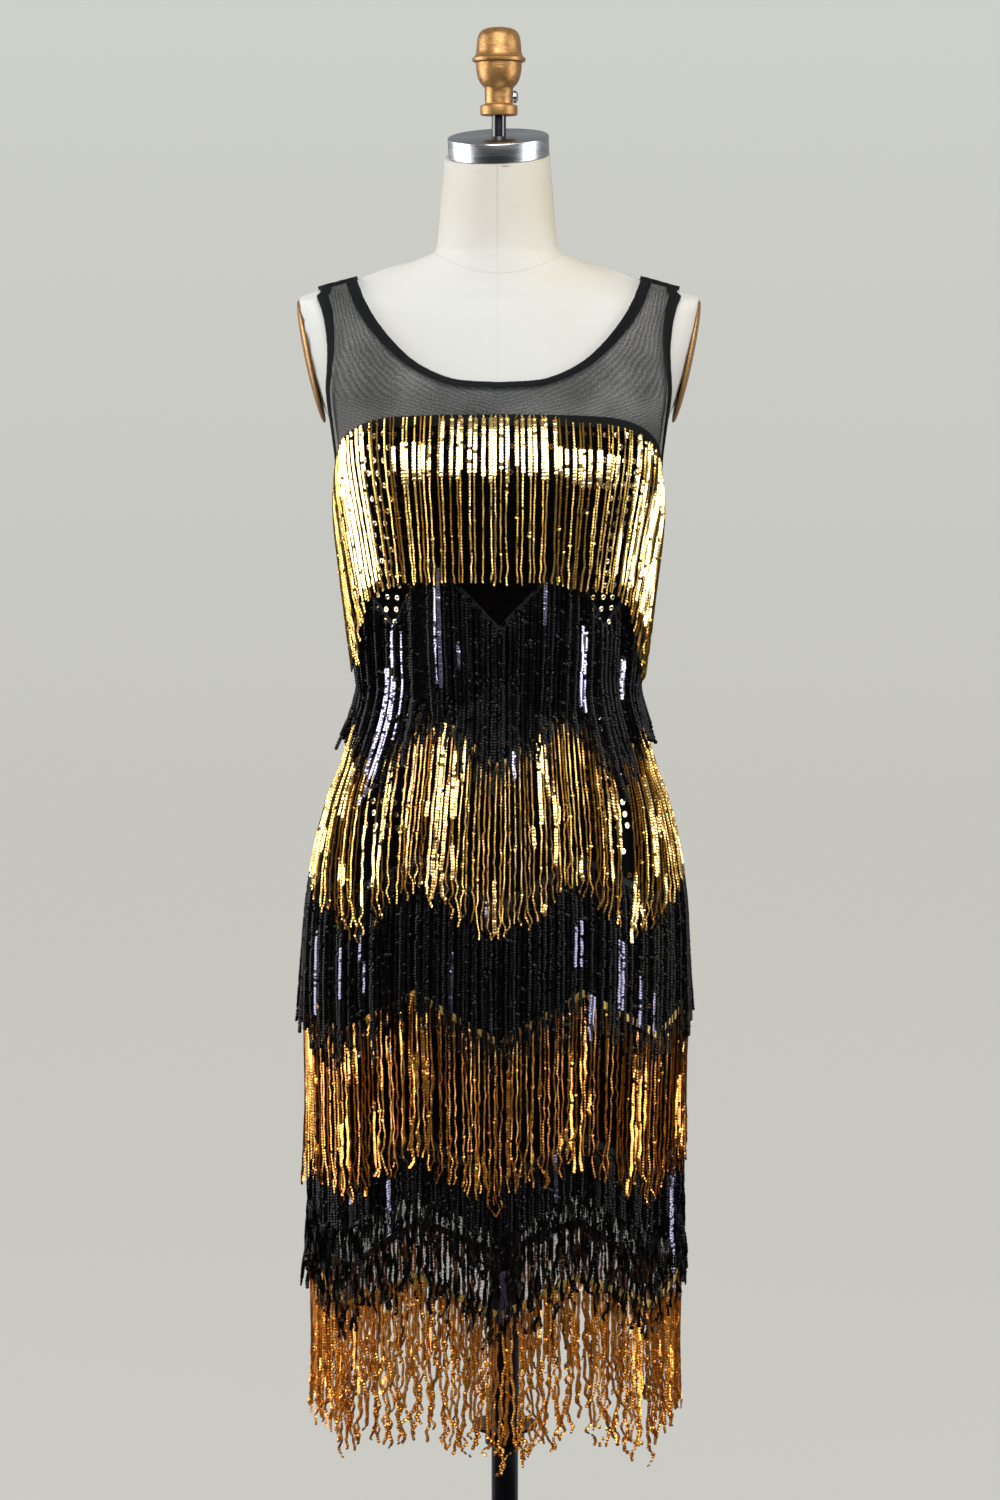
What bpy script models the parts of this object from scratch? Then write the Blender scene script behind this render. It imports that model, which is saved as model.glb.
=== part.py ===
"""Flapper dress with seven fringe tiers, worn by a limbless dress form on a stand.

Metres, +Z up, the front faces -Y, +X is the viewer's right. The origin is the middle of the
base's underside. Every cloth piece is worked out from one body surface: a panel point is given
by its share of the way from the centre line to the side seam, and by its height, and is then
moved out along the surface's normal.
"""

import math
import random
from bisect import bisect
from collections import namedtuple
from functools import lru_cache

import bmesh
import bpy
from mathutils import Matrix, Vector

# ---------------------------------------------------------------- the form's surface

Section = namedtuple("Section", "height half_width front back power")
BODY = tuple(Section(*row) for row in (
    # height, half width, depth in front and behind, roundness (2 is an ellipse)
    (0.4600, 0.1620, 0.1020, 0.1070, 2.20),
    (0.5600, 0.1645, 0.1030, 0.1090, 2.20),
    (0.6400, 0.1655, 0.1030, 0.1110, 2.20),
    (0.7000, 0.1665, 0.1040, 0.1150, 2.20),
    (0.7800, 0.1690, 0.1070, 0.1210, 2.20),
    (0.8600, 0.1670, 0.1100, 0.1230, 2.20),
    (0.9120, 0.1600, 0.1090, 0.1180, 2.20),
    (0.9630, 0.1475, 0.1060, 0.1070, 2.15),
    (0.9980, 0.1345, 0.1030, 0.0970, 2.10),
    (1.0640, 0.1190, 0.0970, 0.0810, 2.10),
    (1.1100, 0.1235, 0.1010, 0.0810, 2.10),
    (1.1650, 0.1330, 0.1130, 0.0870, 2.10),
    (1.2000, 0.1375, 0.1240, 0.0930, 2.15),
    (1.2370, 0.1410, 0.1320, 0.0980, 2.20),
    (1.2620, 0.1435, 0.1335, 0.1010, 2.20),
    (1.2850, 0.1465, 0.1280, 0.1040, 2.25),
    (1.3100, 0.1530, 0.1180, 0.1070, 2.30),
    (1.3450, 0.1680, 0.1050, 0.1060, 2.30),
    (1.3800, 0.1820, 0.0900, 0.0980, 2.15),
    (1.4050, 0.1890, 0.0780, 0.0860, 2.00),
    (1.4165, 0.1890, 0.0712, 0.0770, 1.80),
    (1.4188, 0.1810, 0.0700, 0.0755, 1.80),
    (1.4238, 0.1623, 0.0680, 0.0730, 1.75),
    (1.4328, 0.1288, 0.0635, 0.0690, 1.70),
    (1.4400, 0.1019, 0.0595, 0.0665, 1.70),
    (1.4460, 0.0810, 0.0565, 0.0650, 1.75),
    (1.4520, 0.0650, 0.0540, 0.0630, 1.85),
    (1.4600, 0.0580, 0.0510, 0.0610, 1.95),
    (1.4750, 0.0535, 0.0480, 0.0570, 2.00),
    (1.5000, 0.0485, 0.0455, 0.0510, 2.00),
    (1.5400, 0.0450, 0.0450, 0.0450, 2.00),
))
ARC_STEPS = 36                   # points along a quarter of a level section

# shoulder ridge: a straight line down from the neck to the arm plates
RIDGE_X, RIDGE_Z = 0.1810, 1.4188
RIDGE_SLOPE = 0.268

# ---------------------------------------------------------------- cloth

CLEARANCE = 0.0030               # between the form and the cloth
WALL = 0.0013                    # thickness of the sheath and of the net
SEAM_GAP = 0.0003
SHEATH_OUT = CLEARANCE + WALL    # the sheath's outer face, out from the form

# bust line: share of the way from the centre line to the side seam, and height; under the arm
# the sheath's top edge follows the armhole instead
Mark = namedtuple("Mark", "share height")
BUST_LINE = tuple(Mark(*row) for row in (
    (0.00, 1.3130), (0.42, 1.3115), (0.54, 1.3075), (0.64, 1.3000),
    (0.74, 1.2880), (0.83, 1.2710), (0.91, 1.2540), (1.00, 1.2420),
))
SHEATH_COLUMNS = 9               # per half panel, so that the hem's corners fall on columns
YOKE_COLUMNS = 8                 # the yoke ends one column before the side seam
UNDERARM_SHARE = YOKE_COLUMNS / SHEATH_COLUMNS
BUST_SEAM = 0.0006               # between the sheath's and the yoke's edge, as the side turns
SHEATH_ROWS = 18
HEM_VALLEY, HEM_PEAK = 0.581, 0.619
NET_VALLEY, NET_PEAK = 0.5025, 0.5375
NET_ROWS = 2

# neckline: a fraction of its length from the centre to the shoulder, sideways and height
Edge = namedtuple("Edge", "along side height")
FRONT_NECK = tuple(Edge(*row) for row in (
    (0.00, 0.0000, 1.3430), (0.20, 0.0350, 1.3452), (0.32, 0.0540, 1.3510),
    (0.45, 0.0740, 1.3620), (0.58, 0.0910, 1.3775), (0.72, 0.1065, 1.3965),
    (0.86, 0.1185, 1.4155), (1.00, 0.1270, 1.4333),
))
BACK_NECK = tuple(Edge(*row) for row in (
    (0.00, 0.0000, 1.4020), (0.25, 0.0380, 1.4030), (0.45, 0.0670, 1.4065),
    (0.65, 0.0920, 1.4135), (0.82, 0.1110, 1.4220), (1.00, 0.1270, 1.4333),
))
# armhole: a fraction of its length from the underarm to the shoulder, to the front or back of
# the side seam, and height
Hole = namedtuple("Hole", "along depth height")
ARMHOLE = tuple(Hole(*row) for row in (
    (0.00, 0.0000, 1.2560), (0.08, 0.0130, 1.2590), (0.18, 0.0240, 1.2740),
    (0.30, 0.0315, 1.2950), (0.42, 0.0395, 1.3160), (0.54, 0.0465, 1.3360),
    (0.66, 0.0505, 1.3560), (0.76, 0.0500, 1.3780), (0.86, 0.0434, 1.4040),
    (0.93, 0.0300, 1.4180), (0.97, 0.0150, 1.4228), (1.00, 0.0000, 1.4244),
))
BINDING_WIDTH = 0.0075
BINDING_THICK = 0.0020
YOKE_EDGE = BINDING_WIDTH + SEAM_GAP
YOKE_ROWS = 10
CENTRE_ROWS = {"front": 1, "back": 4}    # rows of the yoke below its neckline
SEAM_TAPE_HALF = 0.0020
SEAM_TAPE_OUT = 0.0007           # over the yoke, clear of the bindings
SEAM_TAPE_THICK = 0.0012

# ---------------------------------------------------------------- fringe

TAPE = 0.0070                    # height of the sewn tape
THREAD = 0.0015                  # thickness of the tape and the locks
TAPE_LIFT = 0.0012               # between the sheath and the tape
BUST_TAPE_GAP = 0.0015           # between the bust line and the first tape's top edge
LOCKS = 26                       # per tier
LOCK_FILL = 0.66                 # share of the pitch that a lock takes
LOCK_TIP = 0.55                  # width of its tip against its root
OUTWARD = 0.0040                 # how far a lock stands out over its whole length
CLING = 0.12                     # how far it leans in for each metre that it falls
FALL_STEP = 0.005
BUST_LENGTH, BUST_SIDE_EXTRA = 0.141, 0.026

# squeeze: how far the strands crowd towards the centre line, at their root and at their tip
Tier = namedtuple("Tier", "name valley peak repeat length root_squeeze tip_squeeze lift parts ragged colour")
GOLD, AMBER, BLACK = (0.62, 0.38, 0.06), (0.47, 0.20, 0.03), (0.012, 0.012, 0.016)
REPEAT = 2 / 3                   # one zigzag, as a share of the half panel
TIERS = tuple(Tier(*row) for row in (
    ("fringe_1_gold", None, None, REPEAT, BUST_LENGTH, 0.0, 1.0, 0.0028, 4, 0.003, GOLD),
    ("fringe_2_black", 1.128, 1.191, 0.61, 0.140, 1.0, 0.0, 0.0005, 3, 0.006, BLACK),
    ("fringe_3_gold", 1.004, 1.054, REPEAT, 0.156, 0.1, 1.0, 0.0014, 3, 0.006, GOLD),
    ("fringe_4_black", 0.882, 0.923, REPEAT, 0.138, 0.0, 0.0, 0.0008, 2, 0.006, BLACK),
    ("fringe_5_amber", 0.758, 0.802, REPEAT, 0.145, 0.0, 0.0, 0.0004, 2, 0.008, AMBER),
    ("fringe_6_black", 0.631, 0.672, REPEAT, 0.144, 0.0, 0.0, 0.0004, 2, 0.012, BLACK),
    ("fringe_7_amber", 0.508, 0.543, REPEAT, 0.148, 0.0, 0.0, 0.0004, 2, 0.020, AMBER),
))

# ---------------------------------------------------------------- form and stand

TORSO_SIDES = 28
TORSO_HEIGHTS = (
    0.645, 0.730, 0.820, 0.890, 0.940, 0.985, 1.030, 1.075, 1.130, 1.185, 1.230, 1.262, 1.300,
    1.340, 1.375, 1.400, 1.4165, 1.4238, 1.4328, 1.440, 1.446, 1.452, 1.465, 1.500, 1.540,
)
RIDGE_SEAT = 0.0023              # the form's shoulder seam rises to carry the dress
SEAT_LOW, SEAT_HIGH = 1.4200, 1.4500
NECK_TILT = math.radians(12.5)   # the neck's top faces forward
NECK_ROLL = math.radians(2.2)    # and its right side is higher
TILT_FROM = 1.452
PLATE_TOP_X, PLATE_TOP_Z = 0.1765, 1.4180
PLATE_LEAN = 0.22                # how far the arm plate leans in for each metre down
PLATE_DEPTH, PLATE_HEIGHT = 0.0420, 0.0580
PLATE_MIDDLE_Z = 1.3640
PLATE_THICK = 0.0060
CAP_RADIUS, CAP_HEIGHT = 0.0455, 0.0200
ROD_RADIUS = 0.0065
ROD_HOLE = 0.0070
FINIAL_PROFILE = (
    # radius and height, from the dome's top down the outer side
    (0.0000, 1.6600), (0.0110, 1.6590), (0.0165, 1.6560), (0.0192, 1.6500), (0.0203, 1.6380),
    (0.0215, 1.6345), (0.0240, 1.6325), (0.0238, 1.6300), (0.0205, 1.6285), (0.0203, 1.6220),
    (0.0185, 1.6140), (0.0150, 1.6085), (0.0128, 1.6060), (0.0125, 1.5925), (0.0160, 1.5910),
    (0.0168, 1.5895), (0.0168, 1.5835), (0.0155, 1.5820), (ROD_HOLE, 1.5820),
    (ROD_HOLE, 1.6150), (0.0000, 1.6150),
)
SCREW_Z = 1.5985
SCREW_HEAD, SCREW_SHANK = 0.0055, 0.0016
POLE_RADIUS, POLE_TOP = 0.0125, 0.6300
SLEEVE_RADIUS, SLEEVE_BORE = 0.0138, 0.0128
SLEEVE_LOW = 0.3770
DISC_RADIUS, DISC_THICK = 0.0305, 0.0030
COLLAR_RADIUS, COLLAR_HEIGHT = 0.0185, 0.0160
BASE_RADIUS = 0.2200
BASE_SOCKET = 0.0300             # the pole's foot stands at this height in the hub
BASE_PROFILE = (
    (SLEEVE_BORE, 0.0800), (0.0240, 0.0800), (0.0270, 0.0770), (0.0300, 0.0420),
    (0.0420, 0.0300), (0.1000, 0.0230), (0.2100, 0.0160), (0.2170, 0.0140),
    (BASE_RADIUS, 0.0100), (BASE_RADIUS, 0.0000), (0.0000, 0.0000),
)

CREAM, GILT, STEEL = (0.80, 0.76, 0.66), (0.45, 0.24, 0.06), (0.42, 0.43, 0.45)
NET = (0.02, 0.02, 0.024)


# ---------------------------------------------------------------- scene and materials

def clear_scene():
    for old in list(bpy.data.objects):
        bpy.data.objects.remove(old, do_unlink=True)


def new_collection(name):
    collection = bpy.data.collections.new(name)
    bpy.context.scene.collection.children.link(collection)
    return collection


def material(name, colour, roughness, metallic=0.0):
    made = bpy.data.materials.new(name)
    made.use_nodes = True
    shader = made.node_tree.nodes["Principled BSDF"]
    shader.inputs["Base Color"].default_value = (*colour, 1.0)
    shader.inputs["Roughness"].default_value = roughness
    shader.inputs["Metallic"].default_value = metallic
    return made


def add_object(name, mesh, finish, collection):
    made = bpy.data.objects.new(name, mesh)
    if finish is not None:
        mesh.materials.append(finish)
    collection.objects.link(made)
    return made


def mesh_from(name, points, cells):
    """A mesh from points and faces."""
    mesh = bpy.data.meshes.new(name)
    mesh.from_pydata([tuple(point) for point in points], [], cells)
    mesh.validate()
    return mesh


# ---------------------------------------------------------------- the body surface

def smooth(table, name, key):
    """Value of one column at a key, on a smooth curve through the table's rows."""
    keys = [row[0] for row in table]
    values = [getattr(row, name) for row in table]
    last = len(table) - 1
    low = min(max(bisect(keys, key) - 1, 0), last - 1)
    high = low + 1

    def slope(i):
        before, after = max(i - 1, 0), min(i + 1, last)
        return (values[after] - values[before]) / (keys[after] - keys[before])

    span = keys[high] - keys[low]
    t = min(max((key - keys[low]) / span, 0.0), 1.0)
    return (
        values[low] * (1 + 2 * t) * (1 - t) ** 2
        + slope(low) * span * t * (1 - t) ** 2
        + values[high] * t * t * (3 - 2 * t)
        - slope(high) * span * t * t * (1 - t)
    )


@lru_cache(maxsize=None)
def section(height):
    return Section(height, *(smooth(BODY, name, height) for name in Section._fields[1:]))


def depth_at(shape, y):
    """The section's depth on the side of the body where y lies."""
    return shape.front if y < 0 else shape.back


def around(shape, angle):
    """Point of a level section in a direction; -90 degrees is the centre front."""
    along, across = math.cos(angle), math.sin(angle)
    depth = depth_at(shape, across)
    reach = (abs(along / shape.half_width) ** shape.power + abs(across / depth) ** shape.power)
    radius = reach ** (-1 / shape.power)
    return radius * along, radius * across


@lru_cache(maxsize=None)
def quarter(panel, height):
    """Points from the centre line to the side seam at a height, with the length up to each."""
    shape = section(height)
    side = -1 if panel == "front" else 1
    points = []
    length = 0.0
    for i in range(ARC_STEPS + 1):
        x, y = around(shape, side * math.pi / 2 * (1 - i / ARC_STEPS))
        if i == 0:
            x = 0.0
        if i == ARC_STEPS:
            y = 0.0
        if points:
            length += math.hypot(x - points[-1][1], y - points[-1][2])
        points.append((length, x, y))
    return points


def level(x, y, height):
    """How far outside the form's surface a place is: 0 on it, growing outwards."""
    shape = section(round(height, 6))
    depth = depth_at(shape, y)
    return abs(x / shape.half_width) ** shape.power + abs(y / depth) ** shape.power


def gradient(x, y, z):
    step = 0.0004
    shape = section(round(z, 6))
    depth = depth_at(shape, y)
    power = shape.power
    across = power * abs(x / shape.half_width) ** (power - 1) / shape.half_width
    along = power * abs(y / depth) ** (power - 1) / depth
    rise = (level(x, y, z + step) - level(x, y, z - step)) / (2 * step)
    return Vector((math.copysign(across, x), math.copysign(along, y), rise))


def normal_at(x, y, z):
    return gradient(x, y, z).normalized()


def moved_out(x, y, z, out):
    return Vector((x, y, z)) + normal_at(x, y, z) * out


def onto_form(place):
    """The place moved straight onto the form's surface."""
    place = place.copy()
    for _ in range(5):
        slope = gradient(*place)
        place -= slope * ((level(*place) - 1) / slope.length_squared)
    return place


def panel_point(panel, share, height, out):
    """Point on the front or back panel; share runs from -1 to 1, from seam to seam."""
    points = quarter(panel, round(height, 5))
    goal = min(abs(share), 1.0) * points[-1][0]
    i = min(max(bisect([point[0] for point in points], goal) - 1, 0), ARC_STEPS - 1)
    before, after = points[i], points[i + 1]
    t = (goal - before[0]) / (after[0] - before[0])
    x = before[1] + (after[1] - before[1]) * t
    y = before[2] + (after[2] - before[2]) * t
    return moved_out(math.copysign(x, share), y, height, out)


def seen_at(panel, x, height):
    """Point of the form that shows at a place in the front or back view."""
    shape = section(round(height, 5))
    depth = shape.front if panel == "front" else shape.back
    inside = max(1 - abs(x / shape.half_width) ** shape.power, 0.0)
    y = depth * inside ** (1 / shape.power)
    return Vector((x, -y if panel == "front" else y, height))


# ---------------------------------------------------------------- cloth walls

def thicken(made, thickness, offset=1.0):
    wall = made.modifiers.new("wall", "SOLIDIFY")
    wall.thickness = thickness
    wall.offset = offset
    wall.use_quality_normals = True


def mirror(made):
    other_half = made.modifiers.new("other half", "MIRROR")
    other_half.merge_threshold = 0.0001


def grid_cells(rows, columns, outward):
    """Faces of a grid of points, row by row; outward says which way round they run."""
    cells = []
    for j in range(rows):
        for i in range(columns):
            low = j * (columns + 1) + i
            cell = (low, low + 1, low + columns + 2, low + columns + 1)
            cells.append(cell if outward else cell[::-1])
    return cells


def triangle_wave(share, period):
    """0 at whole periods, 1 half way between them."""
    phase = (abs(share) / period) % 1.0
    return 1 - abs(1 - 2 * phase)


def zigzag(share, valley, peak, repeat=REPEAT):
    return valley + (peak - valley) * triangle_wave(share, repeat)


def seam_side(panel):
    """Where a panel's edge lies beside the side or shoulder seam."""
    return -SEAM_GAP / 2 if panel == "front" else SEAM_GAP / 2


def half_panel(name, panel, top, bottom, rows, finish, collection):
    """A cloth panel between two edges, from its centre line to the side seam, and mirrored."""
    points = []
    for j in range(rows + 1):
        for i in range(SHEATH_COLUMNS + 1):
            share = i / SHEATH_COLUMNS
            height = bottom(share) + (top(share) - bottom(share)) * j / rows
            point = panel_point(panel, share, height, CLEARANCE)
            if i == 0:
                point.x = 0.0
            if i == SHEATH_COLUMNS:
                point.y = seam_side(panel)
            points.append(point)
    cells = grid_cells(rows, SHEATH_COLUMNS, panel == "front")
    made = add_object(name, mesh_from(name, points, cells), finish, collection)
    mirror(made)
    thicken(made, WALL)
    return made


def sheath(panel, finish, collection):
    def hem(share):
        return zigzag(share, HEM_VALLEY, HEM_PEAK)

    def top(share):
        return sheath_top(panel, share)

    return half_panel(f"sheath_{panel}", panel, top, hem, SHEATH_ROWS, finish, collection)


def hem_net(panel, finish, collection):
    def top(share):
        return zigzag(share, HEM_VALLEY, HEM_PEAK) - SEAM_GAP

    def bottom(share):
        return zigzag(share, NET_VALLEY, NET_PEAK)

    return half_panel(f"hem_net_{panel}", panel, top, bottom, NET_ROWS, finish, collection)


# ---------------------------------------------------------------- yokes and bindings

def ridge_height(x):
    return RIDGE_Z + (RIDGE_X - x) * RIDGE_SLOPE


def neck_line(panel, along):
    table = FRONT_NECK if panel == "front" else BACK_NECK
    return seen_at(panel, smooth(table, "side", along), smooth(table, "height", along))


def armhole_line(panel, along):
    height = smooth(ARMHOLE, "height", along)
    y = smooth(ARMHOLE, "depth", along)
    shape = section(round(height, 5))
    body_depth = shape.front if panel == "front" else shape.back
    x = shape.half_width * (1 - (y / body_depth) ** shape.power) ** (1 / shape.power)
    return Vector((x, -y if panel == "front" else y, height))


@lru_cache(maxsize=None)
def edge_point(line, panel, along, inset):
    """Point of the form beside the neckline or armhole, moved into the cloth by the inset."""
    near = line(panel, along)
    to_seam = 1 if panel == "front" else -1
    toward = line(panel, min(along + 0.01, 1)) - line(panel, max(along - 0.01, 0))
    if along == 1:
        toward = Vector((0, to_seam, 0))
    elif along == 0:
        toward = Vector((1, 0, 0)) if line is neck_line else Vector((0, -to_seam, 0))
    sideways = toward.cross(normal_at(*near)).normalized() * to_seam
    if line is armhole_line:
        sideways.negate()
    return onto_form(near + sideways * inset)


def share_of(panel, place):
    """Share of the way from the centre line to the side seam of a place near the side."""
    points = quarter(panel, round(place.z, 5))
    for before, after in zip(points, points[1:]):
        if abs(after[2]) <= abs(place.y):
            t = (abs(before[2]) - abs(place.y)) / (abs(before[2]) - abs(after[2]))
            return (before[0] + (after[0] - before[0]) * t) / points[-1][0]
    return 1.0


@lru_cache(maxsize=None)
def underarm_place(panel):
    """How far along the armhole its lower edge meets the yoke's last column."""
    low, high = 0.0, 0.4
    for _ in range(20):
        middle = (low + high) / 2
        if share_of(panel, edge_point(armhole_line, panel, middle, YOKE_EDGE)) > UNDERARM_SHARE:
            low = middle
        else:
            high = middle
    return low


@lru_cache(maxsize=None)
def sheath_top(panel, share):
    """Top edge of the sheath: the bust line, and under the arm the armhole's lower edge."""
    if share < UNDERARM_SHARE - 1e-6:
        return smooth(BUST_LINE, "height", share)
    start = edge_point(armhole_line, panel, underarm_place(panel), YOKE_EDGE).z
    end = edge_point(armhole_line, panel, 0.0, YOKE_EDGE).z
    return start + (end - start) * (share - UNDERARM_SHARE) / (1 - UNDERARM_SHARE)


def neck_places(panel):
    """Fractions along the neckline, closer together towards the shoulder."""
    steps = YOKE_ROWS - CENTRE_ROWS[panel]
    return [math.sin(math.pi / 2 * j / steps) for j in range(steps)] + [1.0]


def armhole_places(panel):
    """Fractions along the armhole that the yoke's rows end at."""
    low = underarm_place(panel)
    return [low + (1 - low) * j / YOKE_ROWS for j in range(YOKE_ROWS)] + [1.0]


def yoke(panel, finish, collection):
    """A yoke half between the bust line, neckline, shoulder seam and armhole, and mirrored."""
    below = CENTRE_ROWS[panel]
    columns = range(YOKE_COLUMNS + 1)
    shares = [i / SHEATH_COLUMNS for i in columns]
    low = [panel_point(panel, share, sheath_top(panel, share) + BUST_SEAM, 0.0) for share in shares]
    low[0].x = 0.0
    neck = [edge_point(neck_line, panel, along, YOKE_EDGE) for along in neck_places(panel)]
    steps = [low[0].z + (neck[0].z - low[0].z) * j / below for j in range(1, below)]
    inner = [low[0], *(seen_at(panel, 0.0, height) for height in steps), *neck]
    hole = [edge_point(armhole_line, panel, along, YOKE_EDGE) for along in armhole_places(panel)]
    outer = [low[-1], *hole[1:]]
    points = []
    for j in range(YOKE_ROWS + 1):
        t = j / YOKE_ROWS
        for i in columns:
            c = i / YOKE_COLUMNS
            top = inner[-1].lerp(outer[-1], c)
            corner = low[0].lerp(low[-1], c).lerp(top, t)
            place = onto_form(inner[j].lerp(outer[j], c) + low[i].lerp(top, t) - corner)
            point = moved_out(*place, CLEARANCE)
            if i == 0 and j <= below:
                point.x = 0.0
            if j == YOKE_ROWS:
                point.y = seam_side(panel)
            points.append(point)
    cells = grid_cells(YOKE_ROWS, YOKE_COLUMNS, panel == "front")
    made = add_object(f"yoke_{panel}", mesh_from(f"yoke_{panel}", points, cells), finish, collection)
    mirror(made)
    thicken(made, WALL)
    return made


def band(name, inner, outer, finish, collection):
    """A closed narrow band between two rings of points, thickened to both sides."""
    count = len(inner)
    points = [*inner, *outer]
    cells = []
    for i in range(count):
        after = (i + 1) % count
        cells.append((i, after, count + after, count + i))
    made = add_object(name, mesh_from(name, points, cells), finish, collection)
    thicken(made, BINDING_THICK, 0.0)
    return made


def edge_on_side(line, panel, along, inset, side):
    """Middle of a binding's thickness beside an edge, on the left (-1) or right (1) side."""
    near = edge_point(line, panel, along, inset)
    return moved_out(side * near.x, near.y, near.z, CLEARANCE + WALL / 2)


def neck_binding(finish, collection):
    """The tape round the neckline, from the centre front over both shoulders."""
    def ring(inset):
        points = []
        for side, panel in ((1, "front"), (1, "back"), (-1, "back"), (-1, "front")):
            places = neck_places(panel)
            rising = (side > 0) == (panel == "front")
            for along in places[:-1] if rising else places[:0:-1]:
                points.append(edge_on_side(neck_line, panel, along, inset, side))
        return points

    return band("neck_binding", ring(BINDING_WIDTH), ring(0.0), finish, collection)


def armhole_binding(name, side, finish, collection):
    """The tape round an armhole; its lower part borders on the sheath's top edge."""
    def ring(inset):
        points = []
        for panel in ("front", "back"):
            places = [0.0, *armhole_places(panel)]
            for along in places[:-1] if panel == "front" else places[:0:-1]:
                points.append(edge_on_side(armhole_line, panel, along, inset, side))
        return points

    edges = [ring(BINDING_WIDTH), ring(0.0)]
    if side < 0:
        edges.reverse()
    return band(name, *edges, finish, collection)


def shoulder_seam(name, side, finish, collection):
    """The taped seam along the shoulder ridge, over the strap and both bindings."""
    steps = 4
    inner_x, outer_x = FRONT_NECK[-1].side, section(ARMHOLE[-1].height).half_width
    out = CLEARANCE + WALL + SEAM_TAPE_OUT
    points = []
    for j in range(steps + 1):
        x = inner_x + (outer_x - inner_x) * j / steps
        for y in (-SEAM_TAPE_HALF, 0.0, SEAM_TAPE_HALF):
            lift = normal_at(x, 0.0, ridge_height(x)) * out
            lift.x *= side
            points.append(Vector((side * x, y, ridge_height(x))) + lift)
    cells = grid_cells(steps, 2, side < 0)
    made = add_object(name, mesh_from(name, points, cells), finish, collection)
    thicken(made, SEAM_TAPE_THICK)
    return made


# ---------------------------------------------------------------- fringe

def squeezed(share, amount):
    """Share of a strand that crowds towards the centre line between the middle and the seam."""
    size = abs(share)
    return math.copysign(size - amount * size ** 3 * (1 - size), share)


def on_ring(turn):
    """Panel and share at a turn round the body: 0 and 2 are the side seams, 1 centre front."""
    turn %= 4
    if turn < 2:
        return "front", turn - 1
    return "back", 3 - turn


def tape_line(tier, panel, share):
    """Height of the middle of a tier's tape."""
    if tier.valley is None:
        return sheath_top(panel, abs(share)) - BUST_TAPE_GAP - TAPE / 2
    return zigzag(share, tier.valley, tier.peak, tier.repeat)


def strand_out(tier, fallen):
    """How far out from the form a strand lies after it has fallen that far."""
    root = SHEATH_OUT + TAPE_LIFT
    lift = tier.lift * min(fallen / 0.030, 1.0)
    return root + lift + OUTWARD * fallen / tier.length


def fall(tier, turn, length):
    """Extra distance at each part of a lock, where it hangs clear of a narrowing body."""
    panel, share = on_ring(turn)
    start = tape_line(tier, panel, share) - TAPE / 2
    extras = [0.0]
    reach = None
    marks = [length * (k + 1) / tier.parts for k in range(tier.parts)]
    fallen = 0.0
    while len(extras) <= tier.parts:
        squeeze = tier.root_squeeze + (tier.tip_squeeze - tier.root_squeeze) * fallen / tier.length
        near = panel_point(panel, squeezed(share, squeeze), start - fallen, strand_out(tier, fallen))
        close = math.hypot(near.x, near.y)
        reach = close if reach is None else max(close, reach - CLING * FALL_STEP)
        if fallen >= marks[len(extras) - 1] - FALL_STEP / 2:
            extras.append(reach - close)
        fallen += FALL_STEP
    return extras


def fringe_point(tier, turn, fallen, extra):
    panel, share = on_ring(turn)
    squeeze = tier.root_squeeze + (tier.tip_squeeze - tier.root_squeeze) * fallen / tier.length
    height = tape_line(tier, panel, share) - TAPE / 2 - fallen
    out = strand_out(tier, fallen) + extra
    return panel_point(panel, squeezed(share, squeeze), height, out)


def lock_length(tier, turn, chance):
    length = tier.length + chance.uniform(-tier.ragged, tier.ragged)
    if tier.valley is None:
        share = abs(on_ring(turn)[1])
        length += BUST_SIDE_EXTRA * min(max((share - 0.80) / 0.12, 0.0), 1.0)
    return length


def fringe(tier, finish, collection):
    """A zigzag tape round the body with flat locks that hang from it, as one sheet."""
    chance = random.Random(tier.name)
    pitch = 4 / LOCKS
    locks = []
    for k in range(LOCKS):
        middle = (k + 0.5) * pitch
        locks.append((middle - pitch * LOCK_FILL / 2, middle + pitch * LOCK_FILL / 2))
    stops = {round(turn, 6) for lock in locks for turn in lock} | {0.0, 2.0}
    if tier.valley is not None:
        corner = 0.0
        while corner < 1:
            stops |= {round(middle + side * corner, 6) for middle in (1, 3) for side in (1, -1)}
            corner += tier.repeat / 2
    stops = sorted(stops)
    points = []
    for turn in stops:
        panel, share = on_ring(turn)
        squeeze = squeezed(share, tier.root_squeeze)
        top = tape_line(tier, panel, share) + TAPE / 2
        points.append(panel_point(panel, squeeze, top, SHEATH_OUT + TAPE_LIFT))
        points.append(fringe_point(tier, turn, 0.0, 0.0))
    cells = []
    for i in range(len(stops)):
        here, after = 2 * i, 2 * ((i + 1) % len(stops))
        cells.append((here + 1, after + 1, after, here))
    for low, high in locks:
        inside = [i for i, turn in enumerate(stops) if low - 1e-5 <= turn <= high + 1e-5]
        middle = (low + high) / 2
        length = lock_length(tier, middle, chance)
        extras = fall(tier, middle, length)
        above = [2 * i + 1 for i in inside]
        for k in range(1, tier.parts + 1):
            fallen = length * k / tier.parts
            narrow = 1 - (1 - LOCK_TIP) * k / tier.parts
            row = []
            for i in inside:
                row.append(len(points))
                turn = middle + (stops[i] - middle) * narrow
                points.append(fringe_point(tier, turn, fallen, extras[k]))
            for i in range(len(inside) - 1):
                cells.append((row[i], row[i + 1], above[i + 1], above[i]))
            above = row
    made = add_object(tier.name, mesh_from(tier.name, points, cells), finish, collection)
    thicken(made, THREAD)
    return made


# ---------------------------------------------------------------- dress form

def plate_x(height):
    """Where the arm plates' inner faces cut the form's shoulders off."""
    return PLATE_TOP_X - (PLATE_TOP_Z - height) * PLATE_LEAN


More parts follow.
